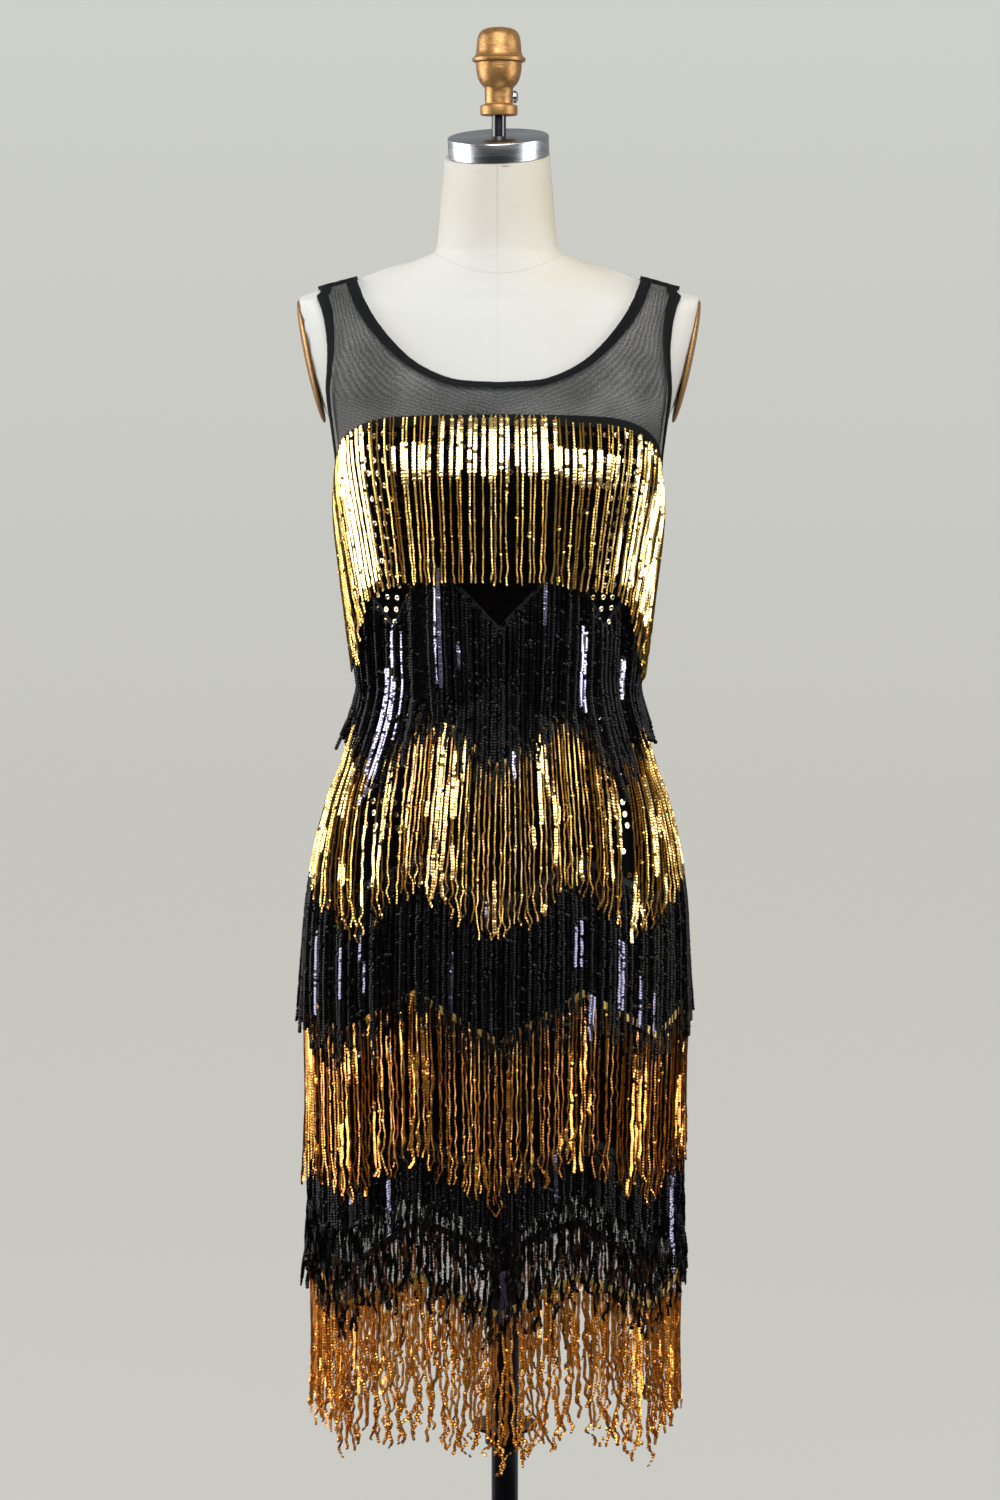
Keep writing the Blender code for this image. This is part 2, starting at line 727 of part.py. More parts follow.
def torso(finish, collection):
    """The padded form: level sections, cut flat at the arms, tilted towards the neck's top."""
    shape = bmesh.new()
    rings = []
    for height in TORSO_HEIGHTS:
        tilt = max(height - TILT_FROM, 0.0) / (TORSO_HEIGHTS[-1] - TILT_FROM)
        ring = []
        for i in range(TORSO_SIDES):
            x, y = around(section(height), 2 * math.pi * i / TORSO_SIDES)
            z = height
            if i % (TORSO_SIDES // 2) == 0 and SEAT_LOW < height < SEAT_HIGH:
                x, y, z = moved_out(x, 0.0, height, RIDGE_SEAT)
            limit = plate_x(height) - SEAM_GAP
            x = math.copysign(min(abs(x), limit), x)
            z += tilt * (y * math.tan(NECK_TILT) + x * math.tan(NECK_ROLL))
            ring.append(shape.verts.new((x, y, z)))
        rings.append(ring)
    for lower, upper in zip(rings, rings[1:]):
        for i in range(TORSO_SIDES):
            after = (i + 1) % TORSO_SIDES
            shape.faces.new((lower[i], lower[after], upper[after], upper[i]))
    shape.faces.new(rings[0][::-1])
    shape.faces.new(rings[-1])
    mesh = bpy.data.meshes.new("form_torso")
    shape.to_mesh(mesh)
    shape.free()
    mesh.shade_smooth()
    mesh.set_sharp_from_angle(angle=math.radians(40))
    return add_object("form_torso", mesh, finish, collection)


def cylinder(name, radius, low, high, sides, finish, collection):
    shape = bmesh.new()
    bmesh.ops.create_cone(
        shape, cap_ends=True, segments=sides, radius1=radius, radius2=radius, depth=high - low,
        matrix=Matrix.Translation((0, 0, (low + high) / 2)),
    )
    mesh = bpy.data.meshes.new(name)
    shape.to_mesh(mesh)
    shape.free()
    mesh.shade_smooth()
    mesh.set_sharp_from_angle(angle=math.radians(40))
    return add_object(name, mesh, finish, collection)


def turned(name, profile, sides, finish, collection):
    """A turned solid: a profile that runs down its outer side, spun round the Z axis."""
    edges = [(i, i + 1) for i in range(len(profile) - 1)]
    mesh = bpy.data.meshes.new(name)
    mesh.from_pydata([(radius, 0.0, height) for radius, height in profile], edges, [])
    made = add_object(name, mesh, finish, collection)
    spin = made.modifiers.new("turn", "SCREW")
    spin.angle = 2 * math.pi
    spin.steps = sides
    spin.render_steps = sides
    spin.use_merge_vertices = True
    spin.merge_threshold = 0.00001
    return made


def cut(made, cutter):
    cutter.hide_render = True
    cutter.display_type = "WIRE"
    hole = made.modifiers.new("hole", "BOOLEAN")
    hole.operation = "DIFFERENCE"
    hole.object = cutter


def arm_plate(name, side, finish, collection):
    """The oval end plate of a shoulder, leaning in towards its lower edge."""
    shape = bmesh.new()
    bmesh.ops.create_cone(shape, cap_ends=True, segments=20, radius1=1, radius2=1, depth=1)
    bmesh.ops.scale(shape, vec=(PLATE_HEIGHT, PLATE_DEPTH, PLATE_THICK), verts=shape.verts)
    mesh = bpy.data.meshes.new(name)
    shape.to_mesh(mesh)
    shape.free()
    made = add_object(name, mesh, finish, collection)
    lean = math.atan(PLATE_LEAN)
    middle = plate_x(PLATE_MIDDLE_Z) + PLATE_THICK / 2 * math.cos(lean)
    made.location = (side * middle, 0.0, PLATE_MIDDLE_Z)
    made.rotation_euler = (0.0, side * (math.pi / 2 + lean), 0.0)
    edge = made.modifiers.new("edge", "BEVEL")
    edge.width = 0.0018
    edge.segments = 1
    edge.limit_method = "ANGLE"
    return made


def neck_cap(finish, collection, cutters):
    """The steel cap on the neck's sloping top, with a blind hole for the rod."""
    made = cylinder("neck_cap", CAP_RADIUS, SEAM_GAP, SEAM_GAP + CAP_HEIGHT, 24, finish, collection)
    made.location = (0.0, 0.0, TORSO_HEIGHTS[-1])
    made.rotation_euler = (NECK_TILT, -NECK_ROLL, 0.0)
    edge = made.modifiers.new("edge", "BEVEL")
    edge.width = 0.0010
    edge.segments = 1
    edge.limit_method = "ANGLE"
    foot = TORSO_HEIGHTS[-1] + CAP_HEIGHT / 2
    drill = cylinder("rod_hole_cutter", ROD_HOLE, foot, foot + 0.030, 16, None, cutters)
    cut(made, drill)
    return made, foot


def finial(finish, collection, cutters):
    """The turned knob: a bored neck, drilled across for its set screw."""
    made = turned("finial", FINIAL_PROFILE, 16, finish, collection)
    drill = cylinder("screw_hole_cutter", SCREW_SHANK + SEAM_GAP, -0.03, 0.03, 8, None, cutters)
    drill.location = (0.0, 0.0, SCREW_Z)
    drill.rotation_euler = (0.0, math.pi / 2, 0.0)
    cut(made, drill)
    return made


def set_screw(finish, collection):
    """The screw in the finial's neck: a shank that stops at the rod, and a domed head."""
    neck = 0.0128
    head = neck + SEAM_GAP
    profile = (
        (0.0, head + 0.0042), (SCREW_HEAD * 0.6, head + 0.0038), (SCREW_HEAD, head + 0.0022),
        (SCREW_HEAD, head), (SCREW_SHANK, head), (SCREW_SHANK, ROD_RADIUS + SEAM_GAP),
        (0.0, ROD_RADIUS + SEAM_GAP),
    )
    made = turned("finial_screw", profile, 10, finish, collection)
    made.location = (0.0, 0.0, SCREW_Z)
    made.rotation_euler = (0.0, math.pi / 2, 0.0)
    return made


def stand(finish, collection):
    """The pole in the base's hub, the sleeve that carries the form, and the disc below it."""
    cylinder("stand_pole", POLE_RADIUS, BASE_SOCKET + SEAM_GAP, POLE_TOP, 20, finish, collection)
    top = TORSO_HEIGHTS[0] - SEAM_GAP
    sleeve = (
        (0.0, top), (SLEEVE_RADIUS, top), (SLEEVE_RADIUS, SLEEVE_LOW), (SLEEVE_BORE, SLEEVE_LOW),
        (SLEEVE_BORE, POLE_TOP + SEAM_GAP), (0.0, POLE_TOP + SEAM_GAP),
    )
    turned("stand_sleeve", sleeve, 20, finish, collection)
    disc_top = SLEEVE_LOW - SEAM_GAP
    disc_low = disc_top - DISC_THICK
    disc = (
        (SLEEVE_BORE, disc_top), (DISC_RADIUS - 0.0006, disc_top), (DISC_RADIUS, disc_top - 0.0006),
        (DISC_RADIUS, disc_low), (COLLAR_RADIUS, disc_low), (COLLAR_RADIUS, disc_low - COLLAR_HEIGHT),
        (SLEEVE_BORE, disc_low - COLLAR_HEIGHT), (SLEEVE_BORE, disc_top),
    )
    turned("stand_disc", disc, 20, finish, collection)
    socket = ((0.0, BASE_SOCKET), (SLEEVE_BORE, BASE_SOCKET))
    turned("stand_base", (*socket, *BASE_PROFILE), 32, finish, collection)


# ---------------------------------------------------------------- the whole

def build():
    clear_scene()
    parts = new_collection("flapper dress on form")
    cutters = new_collection("cutters")
    knit = material("sequinned knit", BLACK, 0.55)
    net = material("black net", NET, 0.7)
    tape = material("black tape", NET, 0.6)
    for panel in ("front", "back"):
        sheath(panel, knit, parts)
        hem_net(panel, net, parts)
        yoke(panel, net, parts)
    neck_binding(tape, parts)
    for word, side in (("right", 1), ("left", -1)):
        armhole_binding(f"armhole_binding_{word}", side, tape, parts)
        shoulder_seam(f"shoulder_seam_{word}", side, tape, parts)
    for tier in TIERS:
        fringe(tier, material(f"{tier.name} beads", tier.colour, 0.3, 0.6), parts)
    cotton = material("cream cotton", CREAM, 0.85)
    gilt = material("gilt metal", GILT, 0.35, 1.0)
    steel = material("brushed steel", STEEL, 0.3, 1.0)
    black_steel = material("black steel", NET, 0.4, 0.6)
    torso(cotton, parts)
    for word, side in (("right", 1), ("left", -1)):
        arm_plate(f"arm_plate_{word}", side, gilt, parts)
    foot = neck_cap(steel, parts, cutters)[1]
    rod_top = FINIAL_PROFILE[-1][1] - SEAM_GAP
    cylinder("top_rod", ROD_RADIUS, foot + SEAM_GAP, rod_top, 16, black_steel, parts)
    finial(gilt, parts, cutters)
    set_screw(steel, parts)
    stand(black_steel, parts)


build()
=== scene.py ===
# %% [markdown]
# # A flapper dress on its dress form
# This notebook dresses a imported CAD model: a sleeveless black dress with seven tiers of sequin
# fringe, worn by a padded form without limbs. The CAD gives the size and place of every piece.
# The cells below make the same pieces again at the fineness that the eye expects: strands of
# single sequins, sheer net, taped edges, turned and brushed metal.

# %% Load the frame
import math
from collections import namedtuple

import bpy
import numpy as np
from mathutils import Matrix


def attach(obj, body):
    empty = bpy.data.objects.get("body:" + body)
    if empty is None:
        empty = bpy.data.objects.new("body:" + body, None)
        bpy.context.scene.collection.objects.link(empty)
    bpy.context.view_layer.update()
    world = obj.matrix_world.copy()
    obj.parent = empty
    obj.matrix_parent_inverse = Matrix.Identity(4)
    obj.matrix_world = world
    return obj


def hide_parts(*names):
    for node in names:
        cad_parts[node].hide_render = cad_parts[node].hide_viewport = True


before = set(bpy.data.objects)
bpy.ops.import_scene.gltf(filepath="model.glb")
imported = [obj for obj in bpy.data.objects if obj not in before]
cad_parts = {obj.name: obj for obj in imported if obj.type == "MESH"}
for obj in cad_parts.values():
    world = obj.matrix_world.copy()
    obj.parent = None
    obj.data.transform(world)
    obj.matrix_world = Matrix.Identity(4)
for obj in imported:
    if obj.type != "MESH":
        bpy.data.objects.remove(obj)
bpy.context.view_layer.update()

# %% [markdown]
# ## Small helpers
# Everything here is made of three moves: clear the selection, add a mesh from arrays, and file
# the finished piece with the frame. The frame has one body, called root, which carries it all.

# %% Filing a piece
BODY_NAME = "root"


def clear_selection():
    """Leaves nothing selected, so that the next operator acts on its own piece alone."""
    if bpy.context.object and bpy.context.object.mode != "OBJECT":
        bpy.ops.object.mode_set(mode="OBJECT")
    bpy.ops.object.select_all(action="DESELECT")


def mesh_piece(name, points, faces, smooth=False):
    """A new piece from an array of points and its faces, four-sided or of any number of sides."""
    mesh = bpy.data.meshes.new(name)
    mesh.from_pydata(np.reshape(points, (-1, 3)).tolist(), [], [list(map(int, f)) for f in faces])
    mesh.update()
    if smooth:
        mesh.shade_smooth()
    piece = bpy.data.objects.new(name, mesh)
    bpy.context.scene.collection.objects.link(piece)
    return piece


def tube_faces(rings, sides, closed=True):
    """Faces that join each ring of points to the next; where closed, the last joins the first."""
    ring, side = (way.ravel() for way in np.mgrid[0:rings - (not closed), 0:sides])
    near, far, after = ring * sides, (ring + 1) % rings * sides, (side + 1) % sides
    return np.stack([near + side, near + after, far + after, far + side], 1)


def end_caps(rings, sides):
    """The two faces that close an open tube."""
    return [range(sides)[::-1], range((rings - 1) * sides, rings * sides)]


def lay_map(piece, name, marks):
    """A UV map from one mark for each point."""
    corners = np.zeros(len(piece.data.loops), int)
    piece.data.loops.foreach_get("vertex_index", corners)
    piece.data.uv_layers.new(name=name).data.foreach_set("uv", np.asarray(marks)[corners].ravel())


def tag_faces(piece, name, values):
    """A number for each face, which a material can read by its name."""
    piece.data.attributes.new(name, "FLOAT", "FACE").data.foreach_set("value", values)


def file_piece(piece, finish, slot, *replaced):
    """Gives a piece its material and its body, and hides the CAD nodes it stands for. The slot is
    not used.
    """
    piece.data.materials.clear()
    piece.data.materials.append(finish)
    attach(piece, BODY_NAME)
    if replaced:
        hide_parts(*replaced)
    piece.data.calc_loop_triangles()
    print(f"{piece.name}: {len(piece.data.loop_triangles)} triangles")
    return piece


# %% [markdown]
# ## The camera
# A fashion photograph is taken from a few metres away with a long lens, which keeps the body's
# proportions. The camera stands at chest height, about 3.2 m off, and looks slightly down.

# %% Camera
CAMERA_PLACE = (0.001, -3.19, 1.353)
CAMERA_PITCH = math.radians(90 - 6.155)
LENS = 84.12

camera = bpy.data.objects.new("camera", bpy.data.cameras.new("camera"))
bpy.context.scene.collection.objects.link(camera)
camera.location = CAMERA_PLACE
camera.rotation_euler = (CAMERA_PITCH, 0.0, 0.0)
camera.data.lens = LENS
camera.data.sensor_width = 36.0
camera.data.sensor_fit = "AUTO"
bpy.context.scene.camera = camera
print("camera", tuple(round(c, 3) for c in camera.location), "lens", LENS, "mm")

# %% [markdown]
# ## Colours and nodes
# Colours are picked as sRGB hex values and turned to linear light once. One function adds a node:
# inputs that are nodes or sockets get linked, other inputs are set. A map range, for one, takes its
# value, then where that starts and ends, then what it turns to; a noise takes its place, its scale,
# its detail and its roughness.

# %% Colour and node helpers
def colour(text):
    """Linear RGBA of an sRGB hex colour."""
    parts = [int(text[i:i + 2], 16) / 255 for i in (1, 3, 5)]
    return (*[p / 12.92 if p <= 0.04045 else ((p + 0.055) / 1.055) ** 2.4 for p in parts], 1.0)


def node(material, kind, *inputs, stops=None, **named):
    """Adds one shader node. Inputs come in the order in which the node shows them, or by name, and
    an input that is itself a node is linked by its first output. Lower case words are settings."""
    tree = material.node_tree
    made = tree.nodes.new("ShaderNode" + kind)
    for word in filter(str.islower, named):
        setattr(made, word, named[word])
    given = list(zip([socket for socket in made.inputs if socket.enabled], inputs))
    for word in named:
        if not word.islower():
            given.append((made.inputs[word.replace("_", " ")], named[word]))
    for socket, value in given:
        if isinstance(value, bpy.types.Node):
            value = next(output for output in value.outputs if output.enabled)
        if isinstance(value, bpy.types.NodeSocket):
            tree.links.new(value, socket)
        else:
            socket.default_value = colour(value) if isinstance(value, str) else value
    if stops:
        elements = made.color_ramp.elements
        while len(elements) < len(stops):
            elements.new(0.5)
        for element, (position, hex_value) in zip(elements, stops):
            element.position, element.color = position, colour(hex_value)
    return made


def finish_called(name):
    """A new material with only its output node left."""
    made = bpy.data.materials.new(name)
    made.use_nodes = True
    made.node_tree.nodes.remove(made.node_tree.nodes["Principled BSDF"])
    return made


def shade(material, shader):
    """Links a shader to the material's output."""
    out = material.node_tree.nodes["Material Output"]
    material.node_tree.links.new(shader.outputs[0], out.inputs["Surface"])


print("black tape is", colour("#1a1a1c"))

# %% [markdown]
# ## The stage
# A seamless paper sweep has no horizon: the floor curves up into the wall. Here it is a wide bowl,
# so that it stays behind the dress from every side. It glows a little, as evenly lit paper does,
# and it is kept out of the reflections, because the studio round the sequins is dark.

# %% Paper sweep
FLOOR_RADIUS, SWEEP_RADIUS, WALL_TOP = 7.5, 4.0, 9.0


def paper_sweep():
    bend = np.linspace(0, math.pi / 2, 13)
    radii = [0.0, 1.0, 3.0, 5.0, *(FLOOR_RADIUS + SWEEP_RADIUS * np.sin(bend))]
    heights = [0.0, 0.0, 0.0, 0.0, *(SWEEP_RADIUS * (1 - np.cos(bend)))]
    radii.append(FLOOR_RADIUS + SWEEP_RADIUS)
    heights.append(WALL_TOP)
    steps = 96
    turn = np.linspace(0, 2 * math.pi, steps, endpoint=False)
    points = [
        np.stack([radius * np.cos(turn), radius * np.sin(turn), turn * 0 + height], 1)
        for radius, height in zip(radii, heights)
    ]
    inwards = tube_faces(len(radii), steps, False)[:, [0, 3, 2, 1]]
    sweep = mesh_piece("paper_sweep", points, inwards, True)
    sweep.visible_glossy = False
    sweep.visible_diffuse = False
    return sweep


sweep = paper_sweep()

paper = finish_called("matte background paper")
place = node(paper, "TexCoord")
height = node(paper, "SeparateXYZ", place.outputs["Object"])
climb = node(paper, "MapRange", height.outputs["Z"], 0, 3)
tint = node(paper, "ValToRGB", climb, stops=[(0, "#cbcbc4"), (1, "#d4d6d0")])
glow = node(paper, "Emission", tint, 1)
flat = node(paper, "BsdfDiffuse", tint)
mixed = node(paper, "MixShader", 0.06, glow, flat)
shade(paper, mixed)
sweep.data.materials.append(paper)

# %% [markdown]
# ## The lights
# Two tall soft boxes stand beside the dress, a little behind its sides on the left, and a third
# one hangs in front above the camera. Sequins are small mirrors: what makes them glitter is the
# contrast between these bright panels and the dark room, so the world light stays low.

# %% Soft boxes
AIM = (0.0, 0.0, 1.15)


def soft_box(name, azimuth, elevation, distance, width, height, power, tint="#ffffff"):
    """A rectangular light that faces the dress; azimuth 0 is in front, 90 on the right."""
    light = bpy.data.lights.new(name, "AREA")
    light.shape = "RECTANGLE"
    light.size, light.size_y = width, height
    light.energy = power
    light.color = colour(tint)[:3]
    lamp = bpy.data.objects.new(name, light)
    bpy.context.scene.collection.objects.link(lamp)
    turn, rise = math.radians(azimuth), math.radians(elevation)
    away = (math.sin(turn) * math.cos(rise), -math.cos(turn) * math.cos(rise), math.sin(rise))
    lamp.location = np.array(AIM) + np.array(away) * distance
    lamp.rotation_euler = (math.pi / 2 - rise, 0.0, turn)
    lamp.visible_camera = False
    return lamp


soft_box("soft box left", -92, 8, 2.2, 1.75, 2.0, 80)
soft_box("soft box right", 73, 8, 2.4, 1.1, 2.0, 52)
soft_box("soft box front", 2, 43, 2.3, 1.9, 1.7, 88)

world = bpy.data.worlds.new("studio room")
bpy.context.scene.world = world
world.use_nodes = True
room = node(world, "TexCoord")
facing = node(world, "SeparateXYZ", room.outputs["Generated"])
wall = node(world, "MapRange", facing.outputs["Y"], -0.2, 0.7, 0.03, 0.4)
world.node_tree.links.new(wall.outputs[0], world.node_tree.nodes["Background"].inputs["Strength"])
world.node_tree.nodes["Background"].inputs["Color"].default_value = colour("#e8ebee")
bpy.context.scene.view_settings.view_transform = "Standard"
bpy.context.scene.view_settings.look = "None"

# %% [markdown]
# ## The body's surface
# Every cloth piece lies on one surface. A table gives its level sections, each a rounded oval with
# its own half width and its own depth in front and behind. A place on it is a turn and a height:
# turn 0 is the left side seam, 1 the centre front, 2 the right side seam and 3 the centre back.

# %% Level sections
BODY = np.array((
    # height, half width, depth in front and behind, roundness (2 is an ellipse)
    (0.46, 0.162, 0.102, 0.107, 2.2), (0.56, 0.1645, 0.103, 0.109, 2.2),
    (0.64, 0.1655, 0.103, 0.111, 2.2), (0.7, 0.1665, 0.104, 0.115, 2.2),
    (0.78, 0.169, 0.107, 0.121, 2.2), (0.86, 0.167, 0.11, 0.123, 2.2),
    (0.912, 0.16, 0.109, 0.118, 2.2), (0.963, 0.1475, 0.106, 0.107, 2.15),
    (0.998, 0.1345, 0.103, 0.097, 2.1), (1.064, 0.119, 0.097, 0.081, 2.1),
    (1.11, 0.1235, 0.101, 0.081, 2.1), (1.165, 0.133, 0.113, 0.087, 2.1),
    (1.2, 0.1375, 0.124, 0.093, 2.15), (1.237, 0.141, 0.132, 0.098, 2.2),
    (1.262, 0.1435, 0.1335, 0.101, 2.2), (1.285, 0.1465, 0.128, 0.104, 2.25),
    (1.31, 0.153, 0.118, 0.107, 2.3), (1.345, 0.168, 0.105, 0.106, 2.3),
    (1.38, 0.182, 0.09, 0.098, 2.15), (1.405, 0.189, 0.078, 0.086, 2.0),
    (1.4165, 0.189, 0.0712, 0.077, 1.8), (1.4188, 0.181, 0.07, 0.0755, 1.8),
    (1.4238, 0.1623, 0.068, 0.073, 1.75), (1.4328, 0.1288, 0.0635, 0.069, 1.7),
    (1.44, 0.111, 0.06, 0.0665, 1.7), (1.446, 0.094, 0.0575, 0.065, 1.7),
    (1.452, 0.077, 0.055, 0.063, 1.75), (1.457, 0.064, 0.0535, 0.0615, 1.85),
    (1.46, 0.0572, 0.0522, 0.0603, 1.95), (1.465, 0.0548, 0.051, 0.059, 2.0),
    (1.475, 0.0532, 0.0498, 0.0565, 2.0), (1.5, 0.0512, 0.0482, 0.0515, 2.0),
    (1.54, 0.0478, 0.0472, 0.0472, 2.0), (1.546, 0.0474, 0.047, 0.047, 2.0),
))


def ramp(value, start, width):
    """0 before the start, 1 past the width, straight between; a negative width falls."""
    return np.clip((value - start) / width, 0, 1)


def smooth(table, column, key):
    """Values of a table's column at some keys, on a smooth curve through its rows."""
    keys, values = table[:, 0], table[:, column]
    last = len(keys) - 1
    after = np.minimum(np.arange(last + 1) + 1, last)
    before = np.maximum(np.arange(last + 1) - 1, 0)
    slopes = (values[after] - values[before]) / (keys[after] - keys[before])
    low = np.clip(np.searchsorted(keys, key, side="right") - 1, 0, last - 1)
    span = keys[low + 1] - keys[low]
    t = ramp(key, keys[low], span)
    start, end = values[low], values[low + 1]
    rise = slopes[low] * t * (1 - t) ** 2 - slopes[low + 1] * t * t * (1 - t)
    return start * (1 + 2 * t) * (1 - t) ** 2 + end * t * t * (3 - 2 * t) + rise * span


def level(points):
    """How far outside the body's surface points are: 1 on it, growing outwards."""
    x, y, z = points[..., 0], points[..., 1], points[..., 2]
    power = smooth(BODY, 4, z)
    depth = np.where(y < 0, smooth(BODY, 2, z), smooth(BODY, 3, z))
    return np.abs(x / smooth(BODY, 1, z)) ** power + np.abs(y / depth) ** power


def slope_at(points):
    """Which way the level grows fastest, and how fast."""
    step = 0.0004
    steps = np.eye(3) * step
    return np.stack([(level(points + way) - level(points - way)) / (2 * step) for way in steps], -1)


def unit(vectors):
    return vectors / np.linalg.norm(vectors, axis=-1, keepdims=True)


def normals_at(points, nudge=(0, 1e-7, 0)):
    """Outward directions, found a hair beside the middle planes, where front and back meet."""
    return unit(slope_at(points + np.array(nudge)))


def onto_body(points):
    """Points moved straight onto the body's surface."""
    for _ in range(6):
        slope = slope_at(points)
        points = points - slope * ((level(points) - 1) / (slope ** 2).sum(-1))[..., None]
    return points


print("waist half width", float(smooth(BODY, 1, 1.064)))

# %% A map of the surface
LOW, HIGH, HEIGHT_STEP = 0.46, 1.54, 0.002
TURN_STEP = 1 / 180


def ring_map():
    """Places and normals on a fine grid of heights and turns."""
    heights = np.arange(LOW, HIGH + HEIGHT_STEP / 2, HEIGHT_STEP)
    quarter = np.linspace(math.pi / 2, 0, 181)
    shares = np.arange(0, 1 + TURN_STEP / 2, TURN_STEP)
    rows = []
    for z in heights:
        sides = []
        for column, way in ((2, -1), (3, 1)):
            half, depth, power = (float(smooth(BODY, c, z)) for c in (1, column, 4))
            along, across = np.cos(quarter), np.sin(quarter)
            radius = ((along / half) ** power + (across / depth) ** power) ** (-1 / power)
            x, y = radius * along, radius * across * way
            length = np.concatenate([[0], np.cumsum(np.hypot(np.diff(x), np.diff(y)))])
            at = shares * length[-1]
            sides.append((np.interp(at, length, x), np.interp(at, length, y)))
        (fx, fy), (bx, by) = sides
        x = np.concatenate([-fx[::-1], fx[1:], bx[-2::-1], -bx[1:-1]])
        y = np.concatenate([fy[::-1], fy[1:], by[-2::-1], by[1:-1]])
        rows.append(np.stack([x, y, np.full_like(x, z)], 1))
    places = np.array(rows)
    return places, normals_at(places, (1e-7, 1e-7, 0))


MAP_PLACES, MAP_NORMALS = ring_map()


def mapped(table, turn, height):
    """The map's values at turns and heights, mixed between its grid points."""
    column = np.mod(turn, 4) / TURN_STEP
    row = np.clip((height - LOW) / HEIGHT_STEP, 0, len(table) - 1.001)
    c, r = np.floor(column).astype(int), np.floor(row).astype(int)
    u, v = (column - c)[..., None], (row - r)[..., None]
    c, c1 = c % table.shape[1], (c + 1) % table.shape[1]
    lower = table[r, c] * (1 - u) + table[r, c1] * u
    upper = table[r + 1, c] * (1 - u) + table[r + 1, c1] * u
    return lower * (1 - v) + upper * v


def on_body(turn, height, out=0.0):
    """Points that lie some way out from the body's surface."""
    turn, height, out = np.broadcast_arrays(turn, height, out)
    normals = unit(mapped(MAP_NORMALS, turn, height))
    points = mapped(MAP_PLACES, turn, height)
    points[..., 2] = height
    return points + normals * out[..., None]


def share_of(turn):
    """Share of the way from the centre line to the side seam: 0 at the centre, 1 at the seam."""
    return np.abs(np.mod(turn, 2) - 1)


girth = np.linalg.norm(np.diff(on_body(np.linspace(0, 4, 721), 1.262), axis=0), axis=1).sum()
print("map", MAP_PLACES.shape, "bust girth", round(float(girth), 3), "m")

# %% [markdown]
# ## Edges and gaps
# The dress hangs 3 mm off the form, and its cloth is 1.3 mm thick with the net's body and the
# sheath's sequin backing. These numbers are the CAD's own, so that each piece lands on its solid.

# %% Measures from the CAD
CLEARANCE, WALL = 0.003, 0.0013
SHEATH_OUT = CLEARANCE + WALL
REPEAT = 2 / 3
BUST_LINE = np.array((
    (0, 1.313), (0.42, 1.3115), (0.54, 1.3075), (0.64, 1.3), (0.74, 1.288), (0.83, 1.271),
    (0.91, 1.254), (1.0, 1.242),
))
UNDERARM_SHARE = 8 / 9
UNDERARM_TOP = {"front": 1.26006, "back": 1.25658}
UNDERARM_LOW = 1.24824
HEM_VALLEY, HEM_PEAK = 0.581, 0.619
NET_VALLEY, NET_PEAK = 0.5025, 0.5375
FRONT_NECK = np.array((
    (0, 0, 1.343), (0.2, 0.035, 1.3452), (0.32, 0.054, 1.351), (0.45, 0.074, 1.362),
    (0.58, 0.091, 1.3775), (0.72, 0.1065, 1.3965), (0.86, 0.1185, 1.4155), (1.0, 0.127, 1.4333),
))
BACK_NECK = np.array((
    (0, 0, 1.402), (0.25, 0.038, 1.403), (0.45, 0.067, 1.4065), (0.65, 0.092, 1.4135),
    (0.82, 0.111, 1.422), (1.0, 0.127, 1.4333),
))
ARMHOLE = np.array((
    (0, 0, 1.256), (0.08, 0.013, 1.259), (0.18, 0.024, 1.274), (0.3, 0.0325, 1.295),
    (0.42, 0.0425, 1.316), (0.54, 0.0515, 1.336), (0.66, 0.0565, 1.356), (0.76, 0.0545, 1.378),
    (0.86, 0.0448, 1.404), (0.93, 0.0302, 1.418), (0.97, 0.015, 1.4228), (1.0, 0.0, 1.4244),
))
BINDING_WIDTH, BINDING_THICK = 0.0075, 0.002
UNDERARM_START = {"front": 0.1231, "back": 0.1034}


# What sets the two panels apart: the turn at which one starts, which way it faces along Y, and the
# column of the body's table that has its depth.
PANELS = ("front", "back")
FIRST_TURN = {"front": 0.0, "back": 2.0}
FACES = {"front": -1, "back": 1}
DEPTH_COLUMN = {"front": 2, "back": 3}
SIDES = (("right", 1), ("left", -1))
# Metres of cloth in one turn, which is a quarter of the way round.
TURN_LENGTH = 0.215


def triangle_wave(share, period):
    """0 at whole periods, 1 half way between them."""
    return 1 - np.abs(1 - 2 * np.mod(np.abs(share) / period, 1.0))


def zigzag(share, valley, peak, repeat=REPEAT):
    return valley + (peak - valley) * triangle_wave(share, repeat)


def sheath_hem(turn):
    return zigzag(share_of(turn), HEM_VALLEY, HEM_PEAK)


def sheath_top(turn):
    """Top edge of the sheath: the bust line, and under the arm the armhole's lower edge."""
    share = share_of(turn)
    back = np.mod(turn, 4) > 2
    start = np.where(back, UNDERARM_TOP["back"], UNDERARM_TOP["front"])
    under = start + (UNDERARM_LOW - start) * (share - UNDERARM_SHARE) / (1 - UNDERARM_SHARE)
    return np.where(share < UNDERARM_SHARE, smooth(BUST_LINE, 1, share), under)


print("sheath top at the centre and the side", sheath_top(np.array([1.0, 2.0])))

# %% [markdown]
# ## Black sequinned knit: the sheath
# The dress's body is a knit tube that follows the form from the bust line to a zigzag hem. Between
# the strands it shows as a black ground. It is built as a grid wrapped on the body, given a wall,
# and left with the shallow creases that a knit keeps where the waist narrows.

# %% Cloth walls
def grid_cells(rows, columns):
    """Faces of a grid of points, row by row from below, that face outwards."""
    low = (np.arange(rows - 1)[:, None] * columns + np.arange(columns - 1)[None, :]).ravel()
    return np.stack([low, low + 1, low + columns + 1, low + columns], 1)


